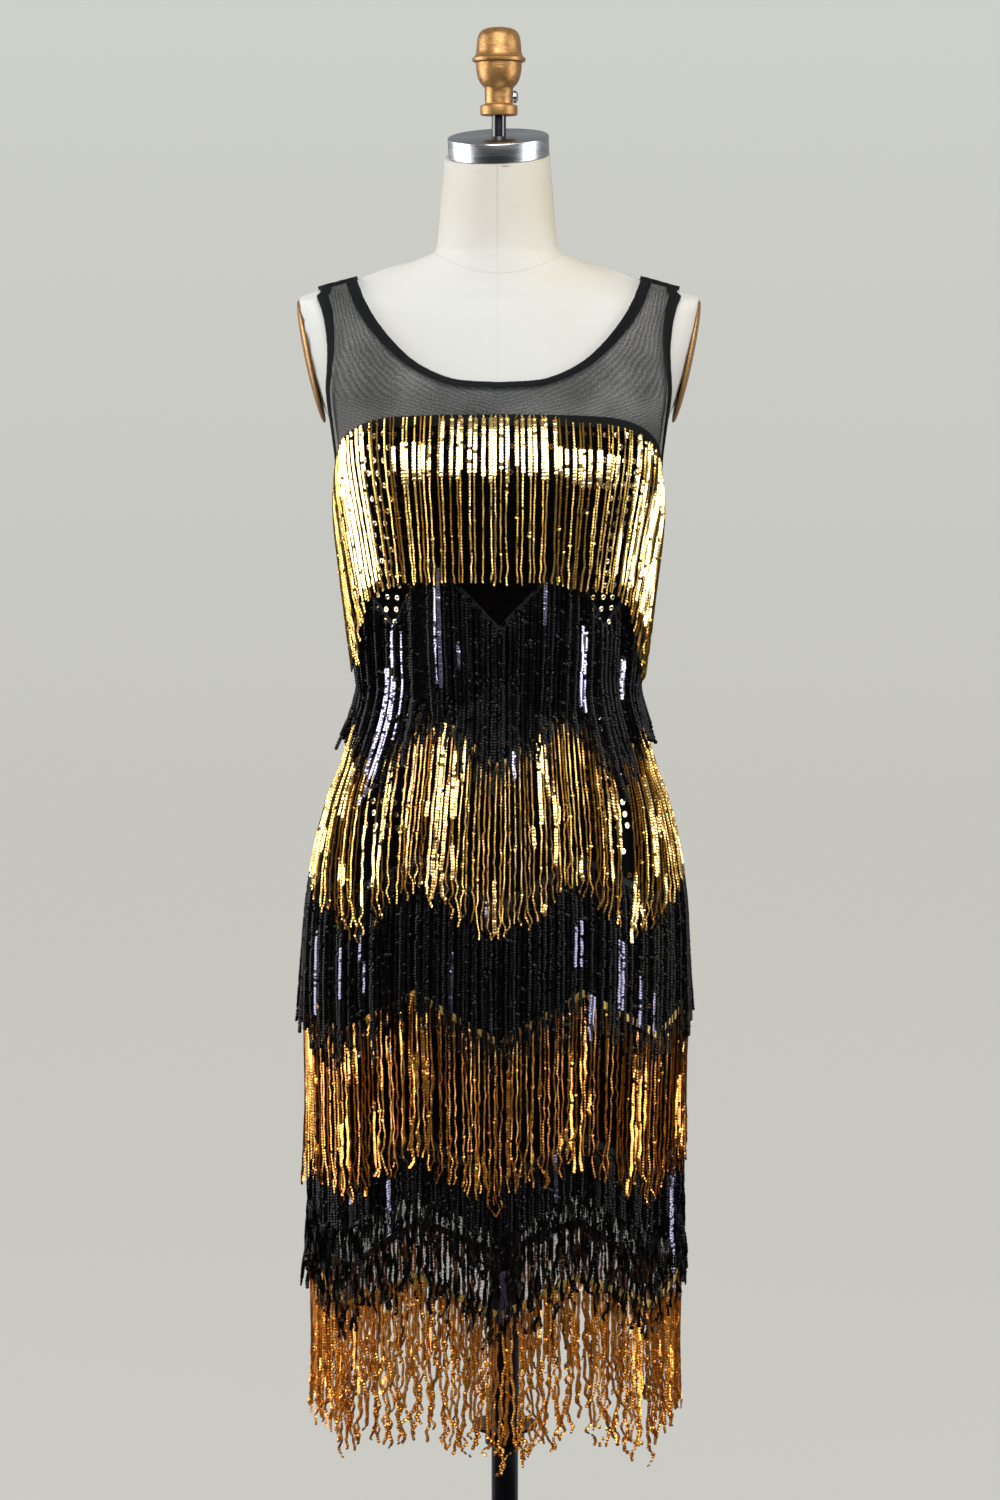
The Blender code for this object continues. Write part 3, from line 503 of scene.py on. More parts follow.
def cloth(name, inside, outside, marks, faces=None):
    """A closed wall between two sets of points, with a rim along its edges and a map in metres."""
    if faces is None:
        faces = grid_cells(*inside.shape[:2])
    inside, outside = inside.reshape(-1, 3), outside.reshape(-1, 3)
    marks = marks.reshape(-1, 2)
    count = len(inside)
    start, after = faces.ravel(), np.roll(faces, -1, 1).ravel()
    free = ~np.isin(start * count + after, after * count + start)
    start, after = start[free], after[free]
    rim = np.stack([start + count, after + count, after, start], 1)
    cells = np.concatenate([faces, faces[:, ::-1] + count, rim])
    piece = mesh_piece(name, np.concatenate([outside, inside]), cells, True)
    lay_map(piece, "cloth", np.tile(marks, (2, 1)))
    return piece


def soft_field(rng, rows, columns, smoothing):
    """Uneven values between -1 and 1 on a grid, smooth over a few cells."""
    field = rng.uniform(-1, 1, (rows, columns))
    for axis, width in enumerate(smoothing):
        kernel = np.hanning(2 * width + 3)[1:-1]
        kernel /= kernel.sum()
        field = np.apply_along_axis(np.convolve, axis, field, kernel, "same")
    return field / np.abs(field).max()


def panel_grid(panel, rows, columns, lower, upper):
    """Turns, heights and the cloth's own map on a grid that fills a panel between two edges."""
    first = FIRST_TURN[panel]
    turn = np.linspace(first + 0.0005, first + 1.9995, columns)[None, :]
    low, high = lower(turn), upper(turn)
    height = low + (high - low) * np.linspace(0, 1, rows)[:, None]
    return turn, height, np.stack([np.broadcast_to(turn * TURN_LENGTH, height.shape), height], -1)


# %% Sheath front and back
def sheath(panel, finish):
    rng = np.random.default_rng({"front": 11, "back": 12}[panel])
    rows, columns = 58, 61
    turn, height, marks = panel_grid(panel, rows, columns, sheath_hem, sheath_top)
    crease = 0.0007 * (1 + soft_field(rng, rows, columns, (3, 9)))
    edge = np.minimum(np.linspace(0, 12, rows), np.linspace(12, 0, rows)).clip(0, 1)[:, None]
    inside = on_body(turn, height, CLEARANCE + crease * edge * 0.5)
    outside = on_body(turn, height, SHEATH_OUT + crease * edge)
    piece = cloth(f"sheath_cloth_{panel}", inside, outside, marks)
    return file_piece(piece, finish, "sequinned_knit", f"sheath_{panel}")


# Black nylon jersey knit, machine made: rows of small loops that drink the light, with a faint
# dusty sheen on their tops. Real loops are 0.6 mm apart; drawn at 1.2 mm, they still show.
LOOP = 0.0012

knit = finish_called("black nylon jersey knit")
place = node(knit, "UVMap", uv_map="cloth")
grid = node(knit, "Mapping", place, Scale=(1 / LOOP, 1 / LOOP, 1))
loops = node(knit, "TexVoronoi", grid, 1, Randomness=0.35)
wear = node(knit, "TexNoise", place, 30, 3)
tint = node(knit, "ValToRGB", wear, stops=[(0.3, "#020203"), (0.7, "#060607")])
relief = node(knit, "Bump", Height=loops, Strength=0.5, Distance=0.0004)
shader = node(
    knit, "BsdfPrincipled", Base_Color=tint, Roughness=0.8, Specular_IOR_Level=0.02, Normal=relief,
)
shade(knit, shader)
for panel in PANELS:
    piece = sheath(panel, knit)

# %% [markdown]
# ## Sheer net
# Yokes and the hem band are black net. Net is a grid of threads with air between them: the
# material mixes threads with nothing at all, by a pattern in millimetres on the cloth's own map.

# %% Points along the neckline and the armholes
def seen_at(panel, x, height):
    """Point of the body that shows at a place in the front or back view."""
    inside = np.maximum(1 - np.abs(x / smooth(BODY, 1, height)) ** smooth(BODY, 4, height), 0.0)
    y = smooth(BODY, DEPTH_COLUMN[panel], height) * inside ** (1 / smooth(BODY, 4, height))
    return np.stack([x, y * FACES[panel], height], -1)


def neck_line(panel, along):
    table = {"front": FRONT_NECK, "back": BACK_NECK}[panel]
    return seen_at(panel, smooth(table, 1, along), smooth(table, 2, along))


def armhole_line(panel, along):
    height, y = smooth(ARMHOLE, 2, along), smooth(ARMHOLE, 1, along)
    depth, power = smooth(BODY, DEPTH_COLUMN[panel], height), smooth(BODY, 4, height)
    x = smooth(BODY, 1, height) * (1 - (y / depth) ** power) ** (1 / power)
    return np.stack([x, y * FACES[panel], height], -1)


def edge_points(line, panel, along, inset):
    """Points of the body beside the neckline or an armhole, moved into the cloth by the inset."""
    along = np.asarray(along, float)
    near = line(panel, along)
    to_seam = -FACES[panel]
    toward = line(panel, np.minimum(along + 0.01, 1)) - line(panel, np.maximum(along - 0.01, 0))
    toward[along >= 1] = (0, to_seam, 0)
    toward[along <= 0] = (1, 0, 0) if line is neck_line else (0, -to_seam, 0)
    normal = normals_at(near, (0, -1e-7 * to_seam, 0))
    sideways = unit(np.cross(toward, normal)) * to_seam
    if line is armhole_line:
        sideways = -sideways
    return onto_body(near + sideways * inset)


print("front neck low point", neck_line("front", np.array([0.0]))[0])

# %% Yokes
YOKE_ROWS, YOKE_HALF_COLUMNS = 44, 32
NET_THICK = 0.0005


def yoke_half(panel):
    """Grid of points on the body between bust line, neckline, shoulder seam and armhole."""
    inset = BINDING_WIDTH / 2
    share = np.linspace(0, UNDERARM_SHARE - 1e-6, YOKE_HALF_COLUMNS + 1)
    turn = 1 + share if panel == "front" else 3 - share
    low = on_body(turn, sheath_top(turn) + 0.0006)
    below = 0.12 if panel == "front" else 0.42
    t = np.linspace(0, 1, YOKE_ROWS + 1)
    neck_share = np.sin(np.pi / 2 * ramp(t, below, 1 - below))
    neck = edge_points(neck_line, panel, neck_share, inset)
    centre_top = neck[0, 2]
    rise = low[0, 2] + (centre_top - low[0, 2]) * ramp(t, 0, below)
    straight = seen_at(panel, np.zeros_like(t), rise)
    inner = np.where((t < below)[:, None], straight, neck)
    start = UNDERARM_START[panel]
    outer = edge_points(armhole_line, panel, start + (1 - start) * t, inset)
    outer[0] = low[-1]
    c = np.linspace(0, 1, YOKE_HALF_COLUMNS + 1)[None, :, None]
    rows = t[:, None, None]
    top = inner[-1] * (1 - c) + outer[-1] * c
    bottom = low[None]
    corner = (low[0] * (1 - c) + low[-1] * c) * (1 - rows) + top * rows
    across = inner[:, None] * (1 - c) + outer[:, None] * c
    return onto_body(across + bottom * (1 - rows) + top * rows - corner)


def yoke(panel, finish):
    """Both halves of a yoke, joined along the centre line below the neckline's lowest point."""
    half = yoke_half(panel)
    rows, columns = half.shape[:2]
    rng = np.random.default_rng({"front": 21, "back": 22}[panel])
    ripple = 1 + soft_field(rng, rows, 2 * columns - 1, (4, 4))
    from_centre = np.clip(np.arange(columns) / 4, 0, 1)[None, :]
    joined = np.abs(half[:, 0, 0]) < 1e-6
    edge = np.where(joined[:, None], 1.0, from_centre)
    edge = np.minimum(edge, np.linspace(columns / 4, 0, columns).clip(0, 1)[None, :])
    from_end = np.minimum(np.linspace(0, 9, rows), np.linspace(9, 0, rows)).clip(0, 1)
    edge = np.minimum(edge, from_end[:, None])
    steps = np.linalg.norm(np.diff(half, axis=1), axis=-1)
    along = half[:, :1, 0] + np.concatenate([np.zeros((rows, 1)), np.cumsum(steps, 1)], 1)
    inside, outside, marks, faces = [], [], [], []
    number = np.arange(rows * columns).reshape(rows, columns)
    for side in (1, -1):
        grid = half * np.array((side, 1, 1))
        waves = ripple[:, columns - 1:] if side > 0 else ripple[:, columns - 1::-1]
        normals = normals_at(grid)
        lift = (CLEARANCE + 0.0004 + 0.0005 * waves * edge)[..., None]
        inside.append((grid + normals * lift).reshape(-1, 3))
        outside.append((grid + normals * (lift + NET_THICK)).reshape(-1, 3))
        marks.append(np.stack([along * side, grid[..., 2]], -1).reshape(-1, 2))
        own = number if side > 0 else number + rows * columns
        if side < 0:
            own = own.copy()
            own[joined, 0] = number[joined, 0]
        if (side < 0) != (panel == "back"):
            own = own[:, ::-1]
        faces.append(own.ravel()[grid_cells(rows, columns)])
    faces = np.concatenate(faces)
    used, faces = np.unique(faces, return_inverse=True)
    inside, outside, marks = (np.concatenate(part)[used] for part in (inside, outside, marks))
    piece = cloth(f"net_yoke_{panel}", inside, outside, marks, faces.reshape(-1, 4))
    return file_piece(piece, finish, "net", f"yoke_{panel}")


# %% Net material
# Fine nylon net, black: thin threads with air between. Where its two layers of threads cross they
# draw slanted ribs that drift over the cloth, and it looks paler where it is stretched.
RIB = 0.0026


def net_material(name, open_cover, close_cover):
    """Black threads over air: fine slanted ribs that drift, and patches where it is stretched."""
    net = finish_called(name)
    place = node(net, "UVMap", uv_map="cloth")
    drift = node(net, "TexNoise", place, 55, 1, 0.5)
    parts = node(net, "SeparateXYZ", place)
    side = node(net, "Math", parts.outputs[0], operation="ABSOLUTE")
    slant = node(net, "MapRange", parts.outputs[1], 1.33, 1.42, -0.25, -0.68)
    turned_side = node(net, "Math", side, slant, operation="MULTIPLY")
    turned_up = node(net, "Math", parts.outputs[1], 0.85, turned_side, operation="MULTIPLY_ADD")
    shifted = node(net, "Math", drift, 0.0036, turned_up, operation="MULTIPLY_ADD")
    wave = node(net, "Math", shifted, 2 * math.pi / RIB, operation="MULTIPLY")
    ribs = node(net, "Math", wave, operation="SINE")
    stretch = node(net, "TexNoise", place, 16, 3, 0.6)
    closeness = node(net, "MapRange", stretch, 0.3, 0.7, open_cover, close_cover)
    ribbed = node(net, "Math", ribs, 0.085, closeness, operation="MULTIPLY_ADD")
    knots = node(net, "TexNoise", place, 620, 1)
    knots = node(net, "Math", knots, 0.64, ribbed, operation="MULTIPLY_ADD")
    cover = node(net, "Math", knots, 0.32, operation="SUBTRACT")
    threads = node(
        net, "BsdfPrincipled", Base_Color="#0d1013", Roughness=0.6, Specular_IOR_Level=0.15,
    )
    air = node(net, "BsdfTransparent")
    mixed = node(net, "MixShader", cover, air, threads)
    shade(net, mixed)
    return net


net = net_material("black nylon net", 0.29, 0.47)
open_net = net_material("open black nylon net", 0.18, 0.36)
for panel, cut_area in (("front", 0.0262), ("back", 0.0403)):
    piece = yoke(panel, net)

# %% Hem net
NET_LAP = 0.004


def net_hem(turn):
    return zigzag(share_of(turn), NET_VALLEY, NET_PEAK)


def net_top(turn):
    return sheath_hem(turn) + NET_LAP


def hem_net(panel, finish):
    turn, height, marks = panel_grid(panel, 12, 91, net_hem, net_top)
    inside = on_body(turn, height, CLEARANCE + 0.0002)
    outside = on_body(turn, height, CLEARANCE + 0.0002 + NET_THICK)
    piece = cloth(f"net_hem_{panel}", inside, outside, marks)
    return file_piece(piece, finish, "net", f"hem_net_{panel}")


for panel in PANELS:
    piece = hem_net(panel, open_net)

# %% [markdown]
# ## Bindings and shoulder seams
# Raw net frays, so its edges are folded into a tape. Each tape is a rounded band swept along the
# edge, with a slightly uneven width, as a hand-fed binding has.

# %% Sweeping a band along an edge
def swept(name, path, normals, outline, closed):
    """A tube whose outline (sideways, outwards) is set square to a path of points."""
    if closed:
        ahead = np.roll(path, -1, 0) - np.roll(path, 1, 0)
    else:
        ahead = np.gradient(path, axis=0)
    ahead = unit(ahead)
    sideways = unit(np.cross(ahead, normals))
    upwards = np.cross(sideways, ahead)
    count, sides = len(path), outline.shape[-2]
    outline = np.broadcast_to(outline, (count, sides, 2))
    points = path[:, None] + sideways[:, None] * outline[..., :1]
    points = points + upwards[:, None] * outline[..., 1:]
    faces = tube_faces(count, sides, closed)
    piece = mesh_piece(name, points, faces if closed else [*faces, *end_caps(count, sides)], True)
    length = np.concatenate([[0], np.cumsum(np.linalg.norm(np.diff(path, axis=0), axis=1))])
    marks = np.stack([np.broadcast_to(length[:, None], (count, sides)), outline[..., 0]], -1)
    lay_map(piece, "band", marks.reshape(-1, 2))
    return piece


def rounded_band(width, thick, sides=12):
    """Outline of a flat band with round edges."""
    angle = np.linspace(0, 2 * math.pi, sides, endpoint=False)
    across, out = np.cos(angle), np.sin(angle)
    return np.stack([np.sign(across) * np.abs(across) ** 0.5 * width / 2,
                     np.sign(out) * np.abs(out) ** 0.6 * thick / 2], 1)


def uneven(outline, count, rng, amount):
    """The outline repeated along a path, a little wider and thinner by turns."""
    swell = 1 + amount * soft_field(rng, 1, count, (0, 2))[0]
    return outline[None] * swell[:, None, None]


# %% Neck and armhole bindings
def edge_ring(line, panels, steps=130, inset=BINDING_WIDTH / 2):
    """Points in the middle of a binding, round its whole edge, and the normals there."""
    places = []
    for side, panel, rising in panels:
        along = np.linspace(0, 1, steps, endpoint=False)
        if not rising:
            along = 1 - along
        points = edge_points(line, panel, along, inset)
        places.append(points * np.array((side, 1, 1)))
    ring = np.concatenate(places)
    normals = normals_at(ring)
    return ring + normals * (CLEARANCE + WALL / 2), normals


def hem_outline(points, free_side, rng):
    """Outline along a hem: a stitched roll on its free side; the other widens to the shoulder."""
    outline = rounded_band(BINDING_WIDTH, BINDING_THICK)
    count = len(points)
    outline = np.repeat(outline[None], count, 0)
    wide = ramp(points[:, 2], 1.345, 0.06) * 1.15 - 0.45
    wide = wide + 0.08 * soft_field(rng, 1, count, (0, 2))[0]
    inner = outline[..., 0] * free_side < 0
    outline[..., 0] *= 1 + inner * wide[:, None]
    stitch = 1 + 0.05 * rng.uniform(-1, 1, count)[:, None]
    outline[..., 0] *= np.where(inner, 1.0, stitch)
    outline[..., 1] *= np.where(inner, 0.75, 1.15)
    return outline


# %% Hem material
# Nylon net folded double and overlocked, black thread on black net: nearly opaque and dull, with a
# solid rolled edge 2.6 mm wide whose overcast stitches stand 1.3 mm apart.
HEM_ROLL, STITCH = 0.0026, 0.0013


def hem_material(name, free_side):
    made = finish_called(name)
    place = node(made, "UVMap", uv_map="band")
    parts = node(made, "SeparateXYZ", place)
    inwards = node(
        made, "Math", parts.outputs[1], -free_side, BINDING_WIDTH / 2, operation="MULTIPLY_ADD",
    )
    rolled = node(made, "MapRange", inwards, HEM_ROLL - 0.0003, HEM_ROLL + 0.0003, 1, 0.8)
    beat = node(made, "Math", parts.outputs[0], 2 * math.pi / STITCH, operation="MULTIPLY")
    stitches = node(made, "Math", beat, operation="SINE")
    relief = node(made, "Bump", Height=stitches, Strength=0.7, Distance=0.0004)
    fluff = node(made, "TexNoise", place, 400, 2)
    tint = node(made, "ValToRGB", fluff, stops=[(0.35, "#060608"), (0.75, "#111316")])
    threads = node(
        made, "BsdfPrincipled", Base_Color=tint, Roughness=0.7, Specular_IOR_Level=0.12,
        Normal=relief,
    )
    air = node(made, "BsdfTransparent")
    mixed = node(made, "MixShader", rolled, air, threads)
    shade(made, mixed)
    return made


neck_hem = hem_material("black folded net hem, neck", -1)
arm_hem = hem_material("black folded net hem, armholes", 1)

# %% Hems in place
rng = np.random.default_rng(31)
ring, normals = edge_ring(
    neck_line, ((1, "front", True), (1, "back", False), (-1, "back", True), (-1, "front", False)),
)
neck_tape = swept("neck_tape", ring, normals, hem_outline(ring, -1, rng), True)
file_piece(neck_tape, neck_hem, "binding_tape", "neck_binding")

for word, side in SIDES:
    ring, normals = edge_ring(armhole_line, ((side, "front", True), (side, "back", False)))
    if side < 0:
        ring, normals = ring[::-1], normals[::-1]
    tape = swept(f"armhole_tape_{word}", ring, normals, hem_outline(ring, 1, rng), True)
    file_piece(tape, arm_hem, "binding_tape", f"armhole_binding_{word}")

# Polyester grosgrain, woven with cross ribs 1 mm apart: matte black, with a faint painted sheen
# that makes the rib crests a little lighter.
GROSGRAIN_RIB = 0.001
grosgrain = finish_called("black grosgrain tape")
place = node(grosgrain, "UVMap", uv_map="band")
parts = node(grosgrain, "SeparateXYZ", place)
beat = node(grosgrain, "Math", parts.outputs[0], 2 * math.pi / GROSGRAIN_RIB, operation="MULTIPLY")
ribs = node(grosgrain, "Math", beat, operation="SINE")
tint = node(grosgrain, "ValToRGB", ribs, stops=[(0, "#060607"), (1, "#0f0f11")])
relief = node(grosgrain, "Bump", Height=ribs, Strength=0.5, Distance=0.0003)
shade(grosgrain, node(
    grosgrain, "BsdfPrincipled", Base_Color=tint, Roughness=0.65, Specular_IOR_Level=0.12,
    Normal=relief,
))

# %% Shoulder seams
RIDGE_X, RIDGE_Z, RIDGE_SLOPE = 0.181, 1.4188, 0.268


def shoulder_tape(word, side):
    x = np.linspace(0.1262, 0.1618, 24)
    ridge = np.stack([x, np.zeros_like(x), RIDGE_Z + (RIDGE_X - x) * RIDGE_SLOPE], 1)
    normals = normals_at(ridge)
    path = (ridge + normals * (CLEARANCE + WALL)) * np.array((side, 1, 1))
    normals = normals * np.array((side, 1, 1))
    outline = uneven(rounded_band(0.006, 0.0036), len(x), rng, 0.12)
    piece = swept(f"shoulder_tape_{word}", path[::side], normals[::side], outline, False)
    file_piece(piece, grosgrain, "binding_tape", f"shoulder_seam_{word}")


for word, side in SIDES:
    shoulder_tape(word, side)

# %% [markdown]
# ## The fringe
# Each tier is a narrow woven tape, sewn on in a zigzag, with about two hundred strands. A strand is
# a thread of overlapping sequins, about 4 mm wide, that twists as it hangs: edge-on it is a thin
# dashed line, flat-on a bright band. One sequin is made here of eight triangles only, a cupped
# five-sided disc and its flat back, because there are tens of thousands of them. Here and there one
# sits askew on its thread, and flashes.

# %% Tiers
TAPE = 0.007
CLING, OUTWARD = 0.12, 0.0008
BUST_TAPE_GAP, BUST_TAPE_COVER = 0.0015, 0.0014
BUST_LENGTH, BUST_SIDE_EXTRA = 0.141, 0.026
SEQUIN_PITCH, SEQUIN_HALF, SEQUIN_FLAT, SEQUIN_CUP = 0.0026, 0.0022, 0.00014, 0.0009
LYING_LEAN, LOW_LYING_LEAN, EDGE_LEAN = 0.08, 0.27, 0.22
BLACK_TURN = math.radians(25)
LIT_LEFT, LIT_RIGHT = math.radians(-46), math.radians(37)
EDGE_LEFT, EDGE_RIGHT = math.radians(-62), math.radians(68)
SIDE_ANGLES = np.arange(5) * 2 * math.pi / 5
SEQUIN_CELLS = np.array((
    (0, 1, 2), (0, 2, 3), (0, 3, 4), (0, 4, 5), (0, 5, 1), (1, 3, 2), (1, 4, 3), (1, 5, 4),
))
CUP_MARKS, BACK_MARKS = [(0, 0), (1, 0), (1, 1)], [(0.5, 0), (0.5, 0.5), (0.5, 1)]
SEQUIN_MARKS = np.array([CUP_MARKS] * 5 + [BACK_MARKS] * 3, float)

# A tier's measures: its node, finish and seed; the low and high points of its tape and how far they
# repeat; its strands' length and number; how ragged they end, swing and curl, and the length in
# which they coil once; how flat they lie; how far they are squeezed together at root and tip; how
# far they stand off; and the share of a strand past which it coils.
Tier = namedtuple(
    "Tier", "name node slot seed valley peak length strands ragged swing curl coil "
    "flat repeat root tip lift coil_from", defaults=(0.0, REPEAT, 0.0, 0.0, 0.0004, 2.0),
)
TIERS = (
    Tier("gold_fringe_1", "fringe_1_gold", "gold_sequins", 41, None, None, BUST_LENGTH, 160,
         0.002, 0.0004, 0.0008, 0.05, tip=1.0, lift=0.0028),
    Tier("black_fringe_2", "fringe_2_black", "black_sequins", 42, 1.128, 1.191, 0.157, 200,
         0.012, 0.0006, 0.0014, 0.05, repeat=0.61, root=1.0, lift=0.0005),
    Tier("gold_fringe_3", "fringe_3_gold", "gold_sequins", 43, 1.004, 1.054, 0.156, 188,
         0.008, 0.0009, 0.0018, 0.04, flat=0.16, root=0.1, tip=1.0, lift=0.0008),
    Tier("black_fringe_4", "fringe_4_black", "black_sequins", 44, 0.882, 0.923, 0.156, 214,
         0.012, 0.0006, 0.0014, 0.04, flat=0.05),
    Tier("amber_fringe_5", "fringe_5_amber", "amber_sequins", 45, 0.758, 0.802, 0.152, 216,
         0.01, 0.0013, 0.0022, 0.03, flat=0.03),
    Tier("black_fringe_6", "fringe_6_black", "black_sequins", 46, 0.631, 0.672, 0.144, 256,
         0.014, 0.0014, 0.0022, 0.08, flat=0.05, coil_from=0.4),
    Tier("copper_fringe_7", "fringe_7_amber", "amber_sequins", 47, 0.508, 0.543, 0.134, 248,
         0.018, 0.0026, 0.0036, 0.06),
)
# How far the tips at the sides stand off, and how much longer the longest of them are.
STRAY = {
    "black_fringe_2": (0.007, 0.012), "black_fringe_4": (0.008, 0.012),
    "amber_fringe_5": (0.004, 0.045), "black_fringe_6": (0.008, 0.016),
    "copper_fringe_7": (0.003, 0.004),
}
HANG_ASIDE = 0.003
# Where a tier's strands are parted, in turns of the front panel, and show the ring sequins below.
PARTED = {"gold_fringe_3": ((0.385, 0.425), (0.515, 0.545), (1.575, 1.615))}
# The share of sequins that sit askew: more of them on the black tiers.
LOOSE, BLACK_LOOSE = 0.06, 0.22


def is_black(tier):
    return tier.slot == "black_sequins"


def on_bust_line(tier):
    """Whether a tier follows the bust line; the others are sewn on in zigzags."""
    return tier.valley is None


def squeezed(turn, amount):
    """A turn moved towards its panel's centre line, most between the middle and the seam."""
    turn = np.mod(turn, 4)
    centre = np.where(turn < 2, 1.0, 3.0)
    share = turn - centre
    size = np.abs(share)
    return centre + np.sign(share) * (size - amount * size ** 3 * (1 - size))


def tape_height(tier, turn):
    """Height of the middle of a tier's tape."""
    if on_bust_line(tier):
        return sheath_top(turn) - BUST_TAPE_GAP - TAPE / 2
    return zigzag(share_of(turn), tier.valley, tier.peak, tier.repeat)


# %% Strands
def wander(rng, strands, steps, cells, size):
    """Smooth sideways drift along each strand, its own for each."""
    knots = rng.normal(0, size, (strands, cells))
    at = np.linspace(0, cells - 1.001, steps)
    low = at.astype(int)
    t = at - low
    t = t * t * (3 - 2 * t)
    return knots[:, low] * (1 - t) + knots[:, low + 1] * t


def strand_axes(tier, rng):
    """Middle of each sequin, strand by strand, with its outward direction."""
    count = tier.strands
    turn = (np.arange(count) + 0.5 + rng.uniform(-0.36, 0.36, count)) * 4 / count
    length = tier.length + rng.uniform(-tier.ragged, tier.ragged, count)
    if on_bust_line(tier):
        beside = ramp(share_of(turn), 0.7, 0.16)
        length += (BUST_SIDE_EXTRA + rng.uniform(-0.01, 0.006, count)) * beside
    flare, extra = STRAY.get(tier.name, (0.0, 0.0))
    stray = ramp(share_of(turn), 0.84, 0.12) * rng.uniform(-0.2, 1.0, count)
    length += extra * stray * rng.uniform(0, 1, count)
    steps = int(length.max() / SEQUIN_PITCH)
    fallen = np.arange(steps)[None, :] * SEQUIN_PITCH + 0.001
    keep = fallen <= length[:, None]
    part = np.clip(fallen / tier.length, 0, 1.2)
    at = squeezed(turn[:, None], tier.root + (tier.tip - tier.root) * part)
    swing = wander(rng, count, steps, 5, tier.swing) * part
    curl = wander(rng, count, steps, 20, tier.curl) * ramp(part, 0.72, 0.28)
    if on_bust_line(tier):
        curl = curl * (1 + 2.5 * beside[:, None])
    crinkle = wander(rng, count, steps, 30, tier.swing * 0.35) * np.clip(part * 2, 0, 1)
    at = at + (swing + curl + crinkle) / TURN_LENGTH
    start = tape_height(tier, turn)
    if on_bust_line(tier):
        start += 0.006 * np.where(turn < 2, ramp(turn, 1.3, -0.1), 1.0)
    height = start[:, None] - fallen
    root = SHEATH_OUT + 0.0014
    rise = 0.0016 * ramp(fallen, 0, 0.012)
    out = root + rise + tier.lift * ramp(fallen, 0, 0.03) + OUTWARD * part
    out = out + flare * stray[:, None] * part ** 3
    points = on_body(at, height, out)
    reach = np.hypot(points[..., 0], points[..., 1])
    hung = reach.copy()
    for i in range(1, steps):
        hung[:, i] = np.maximum(reach[:, i], hung[:, i - 1] - CLING * SEQUIN_PITCH)
    points[..., :2] *= (hung / reach)[..., None]
    points[..., 0] -= HANG_ASIDE * ramp(height, 1.05, -0.25)
    outward = unit(points * np.array((1, 1, 0)))
    normal = mapped(MAP_NORMALS, at, np.maximum(height, LOW)) * np.array((1, 1, 0.3))
    normal = unit(normal + outward * 0.2)
    return turn, points, normal, keep, np.broadcast_to(part, keep.shape)


def sequin_mesh(points, along, face, across, cup, lean, keep, rng):
    """A closed cup sequin at each kept point: five sides that rise to a middle, and a flat back."""
    tilt = (rng.normal(0, 0.04, points.shape[:2]) - lean)[..., None]
    outward = unit(face * np.cos(tilt) + along * np.sin(tilt))
    up = unit(np.cross(across, outward))
    half = SEQUIN_HALF * rng.uniform(0.93, 1.07, points.shape[:2])[..., None]
    depth = outward * cup[..., None] / 2
    corners = [points + depth]
    for turn in SIDE_ANGLES:
        corners.append(points + (across * math.cos(turn) + up * math.sin(turn)) * half - depth)
    corners = np.stack(corners, 2)[keep]
    count = len(corners)
    cells = np.arange(count)[:, None, None] * 6 + SEQUIN_CELLS[None]
    strand_tone = np.broadcast_to(rng.uniform(0, 1, (len(keep), 1)), keep.shape)[keep]
    tones = np.repeat(0.5 * rng.uniform(0, 1, count) + 0.5 * strand_tone, len(SEQUIN_CELLS))
    return corners.reshape(-1, 3), cells.reshape(-1, 3), tones


# Runs of sequins that lie flat and catch a lamp: first and last turn, and the part of the strand's
# length from which and up to which they run.
LIT_RUNS = {
    "black_fringe_2": (
        (0.31, 0.4, 0.3, 1.2), (0.43, 0.46, 0.1, 0.75), (0.7, 0.73, 0, 0.7),
        (0.36, 0.38, 0, 0.25), (1.2, 1.22, 0, 0.25), (1.42, 1.46, 0.22, 0.7),
        (1.06, 1.08, 0.8, 1.2), (1.72, 1.76, 0.35, 0.6),
    ),
    "black_fringe_4": (
        (0.82, 0.84, 0.4, 0.75), (1.31, 1.34, 0.35, 0.62), (1.49, 1.51, 0.35, 0.75),
        (1.57, 1.59, 0.5, 0.8), (1.65, 1.67, 0.55, 0.85), (1.37, 1.4, 0.75, 1.2),
        (0.21, 0.23, 0.3, 0.8), (0.35, 0.37, 0.3, 0.6),
    ),
    "gold_fringe_3": (
        (0.18, 0.24, 0.15, 0.45), (0.36, 0.4, 0.4, 0.85), (0.57, 0.59, 0.1, 0.45),
        (0.97, 0.99, 0.65, 0.95), (1.17, 1.19, 0.2, 0.5), (1.5, 1.54, 0.3, 0.7),
        (1.74, 1.8, 0.2, 0.75),
    ),
    "black_fringe_6": (
        (1.23, 1.25, 0, 0.35), (0.55, 0.57, 0.2, 0.55), (1.02, 1.04, 0.6, 0.9),
        (0.7, 0.71, 0.5, 0.8),
    ),
    "amber_fringe_5": (
        (0.42, 0.44, 0.05, 0.35), (0.14, 0.16, 0.15, 0.4), (1.03, 1.05, 0.2, 0.85),
        (1.82, 1.86, 0.45, 0.8), (0.34, 0.36, 0.55, 0.8), (1.55, 1.57, 0.6, 0.85),
    ),
}


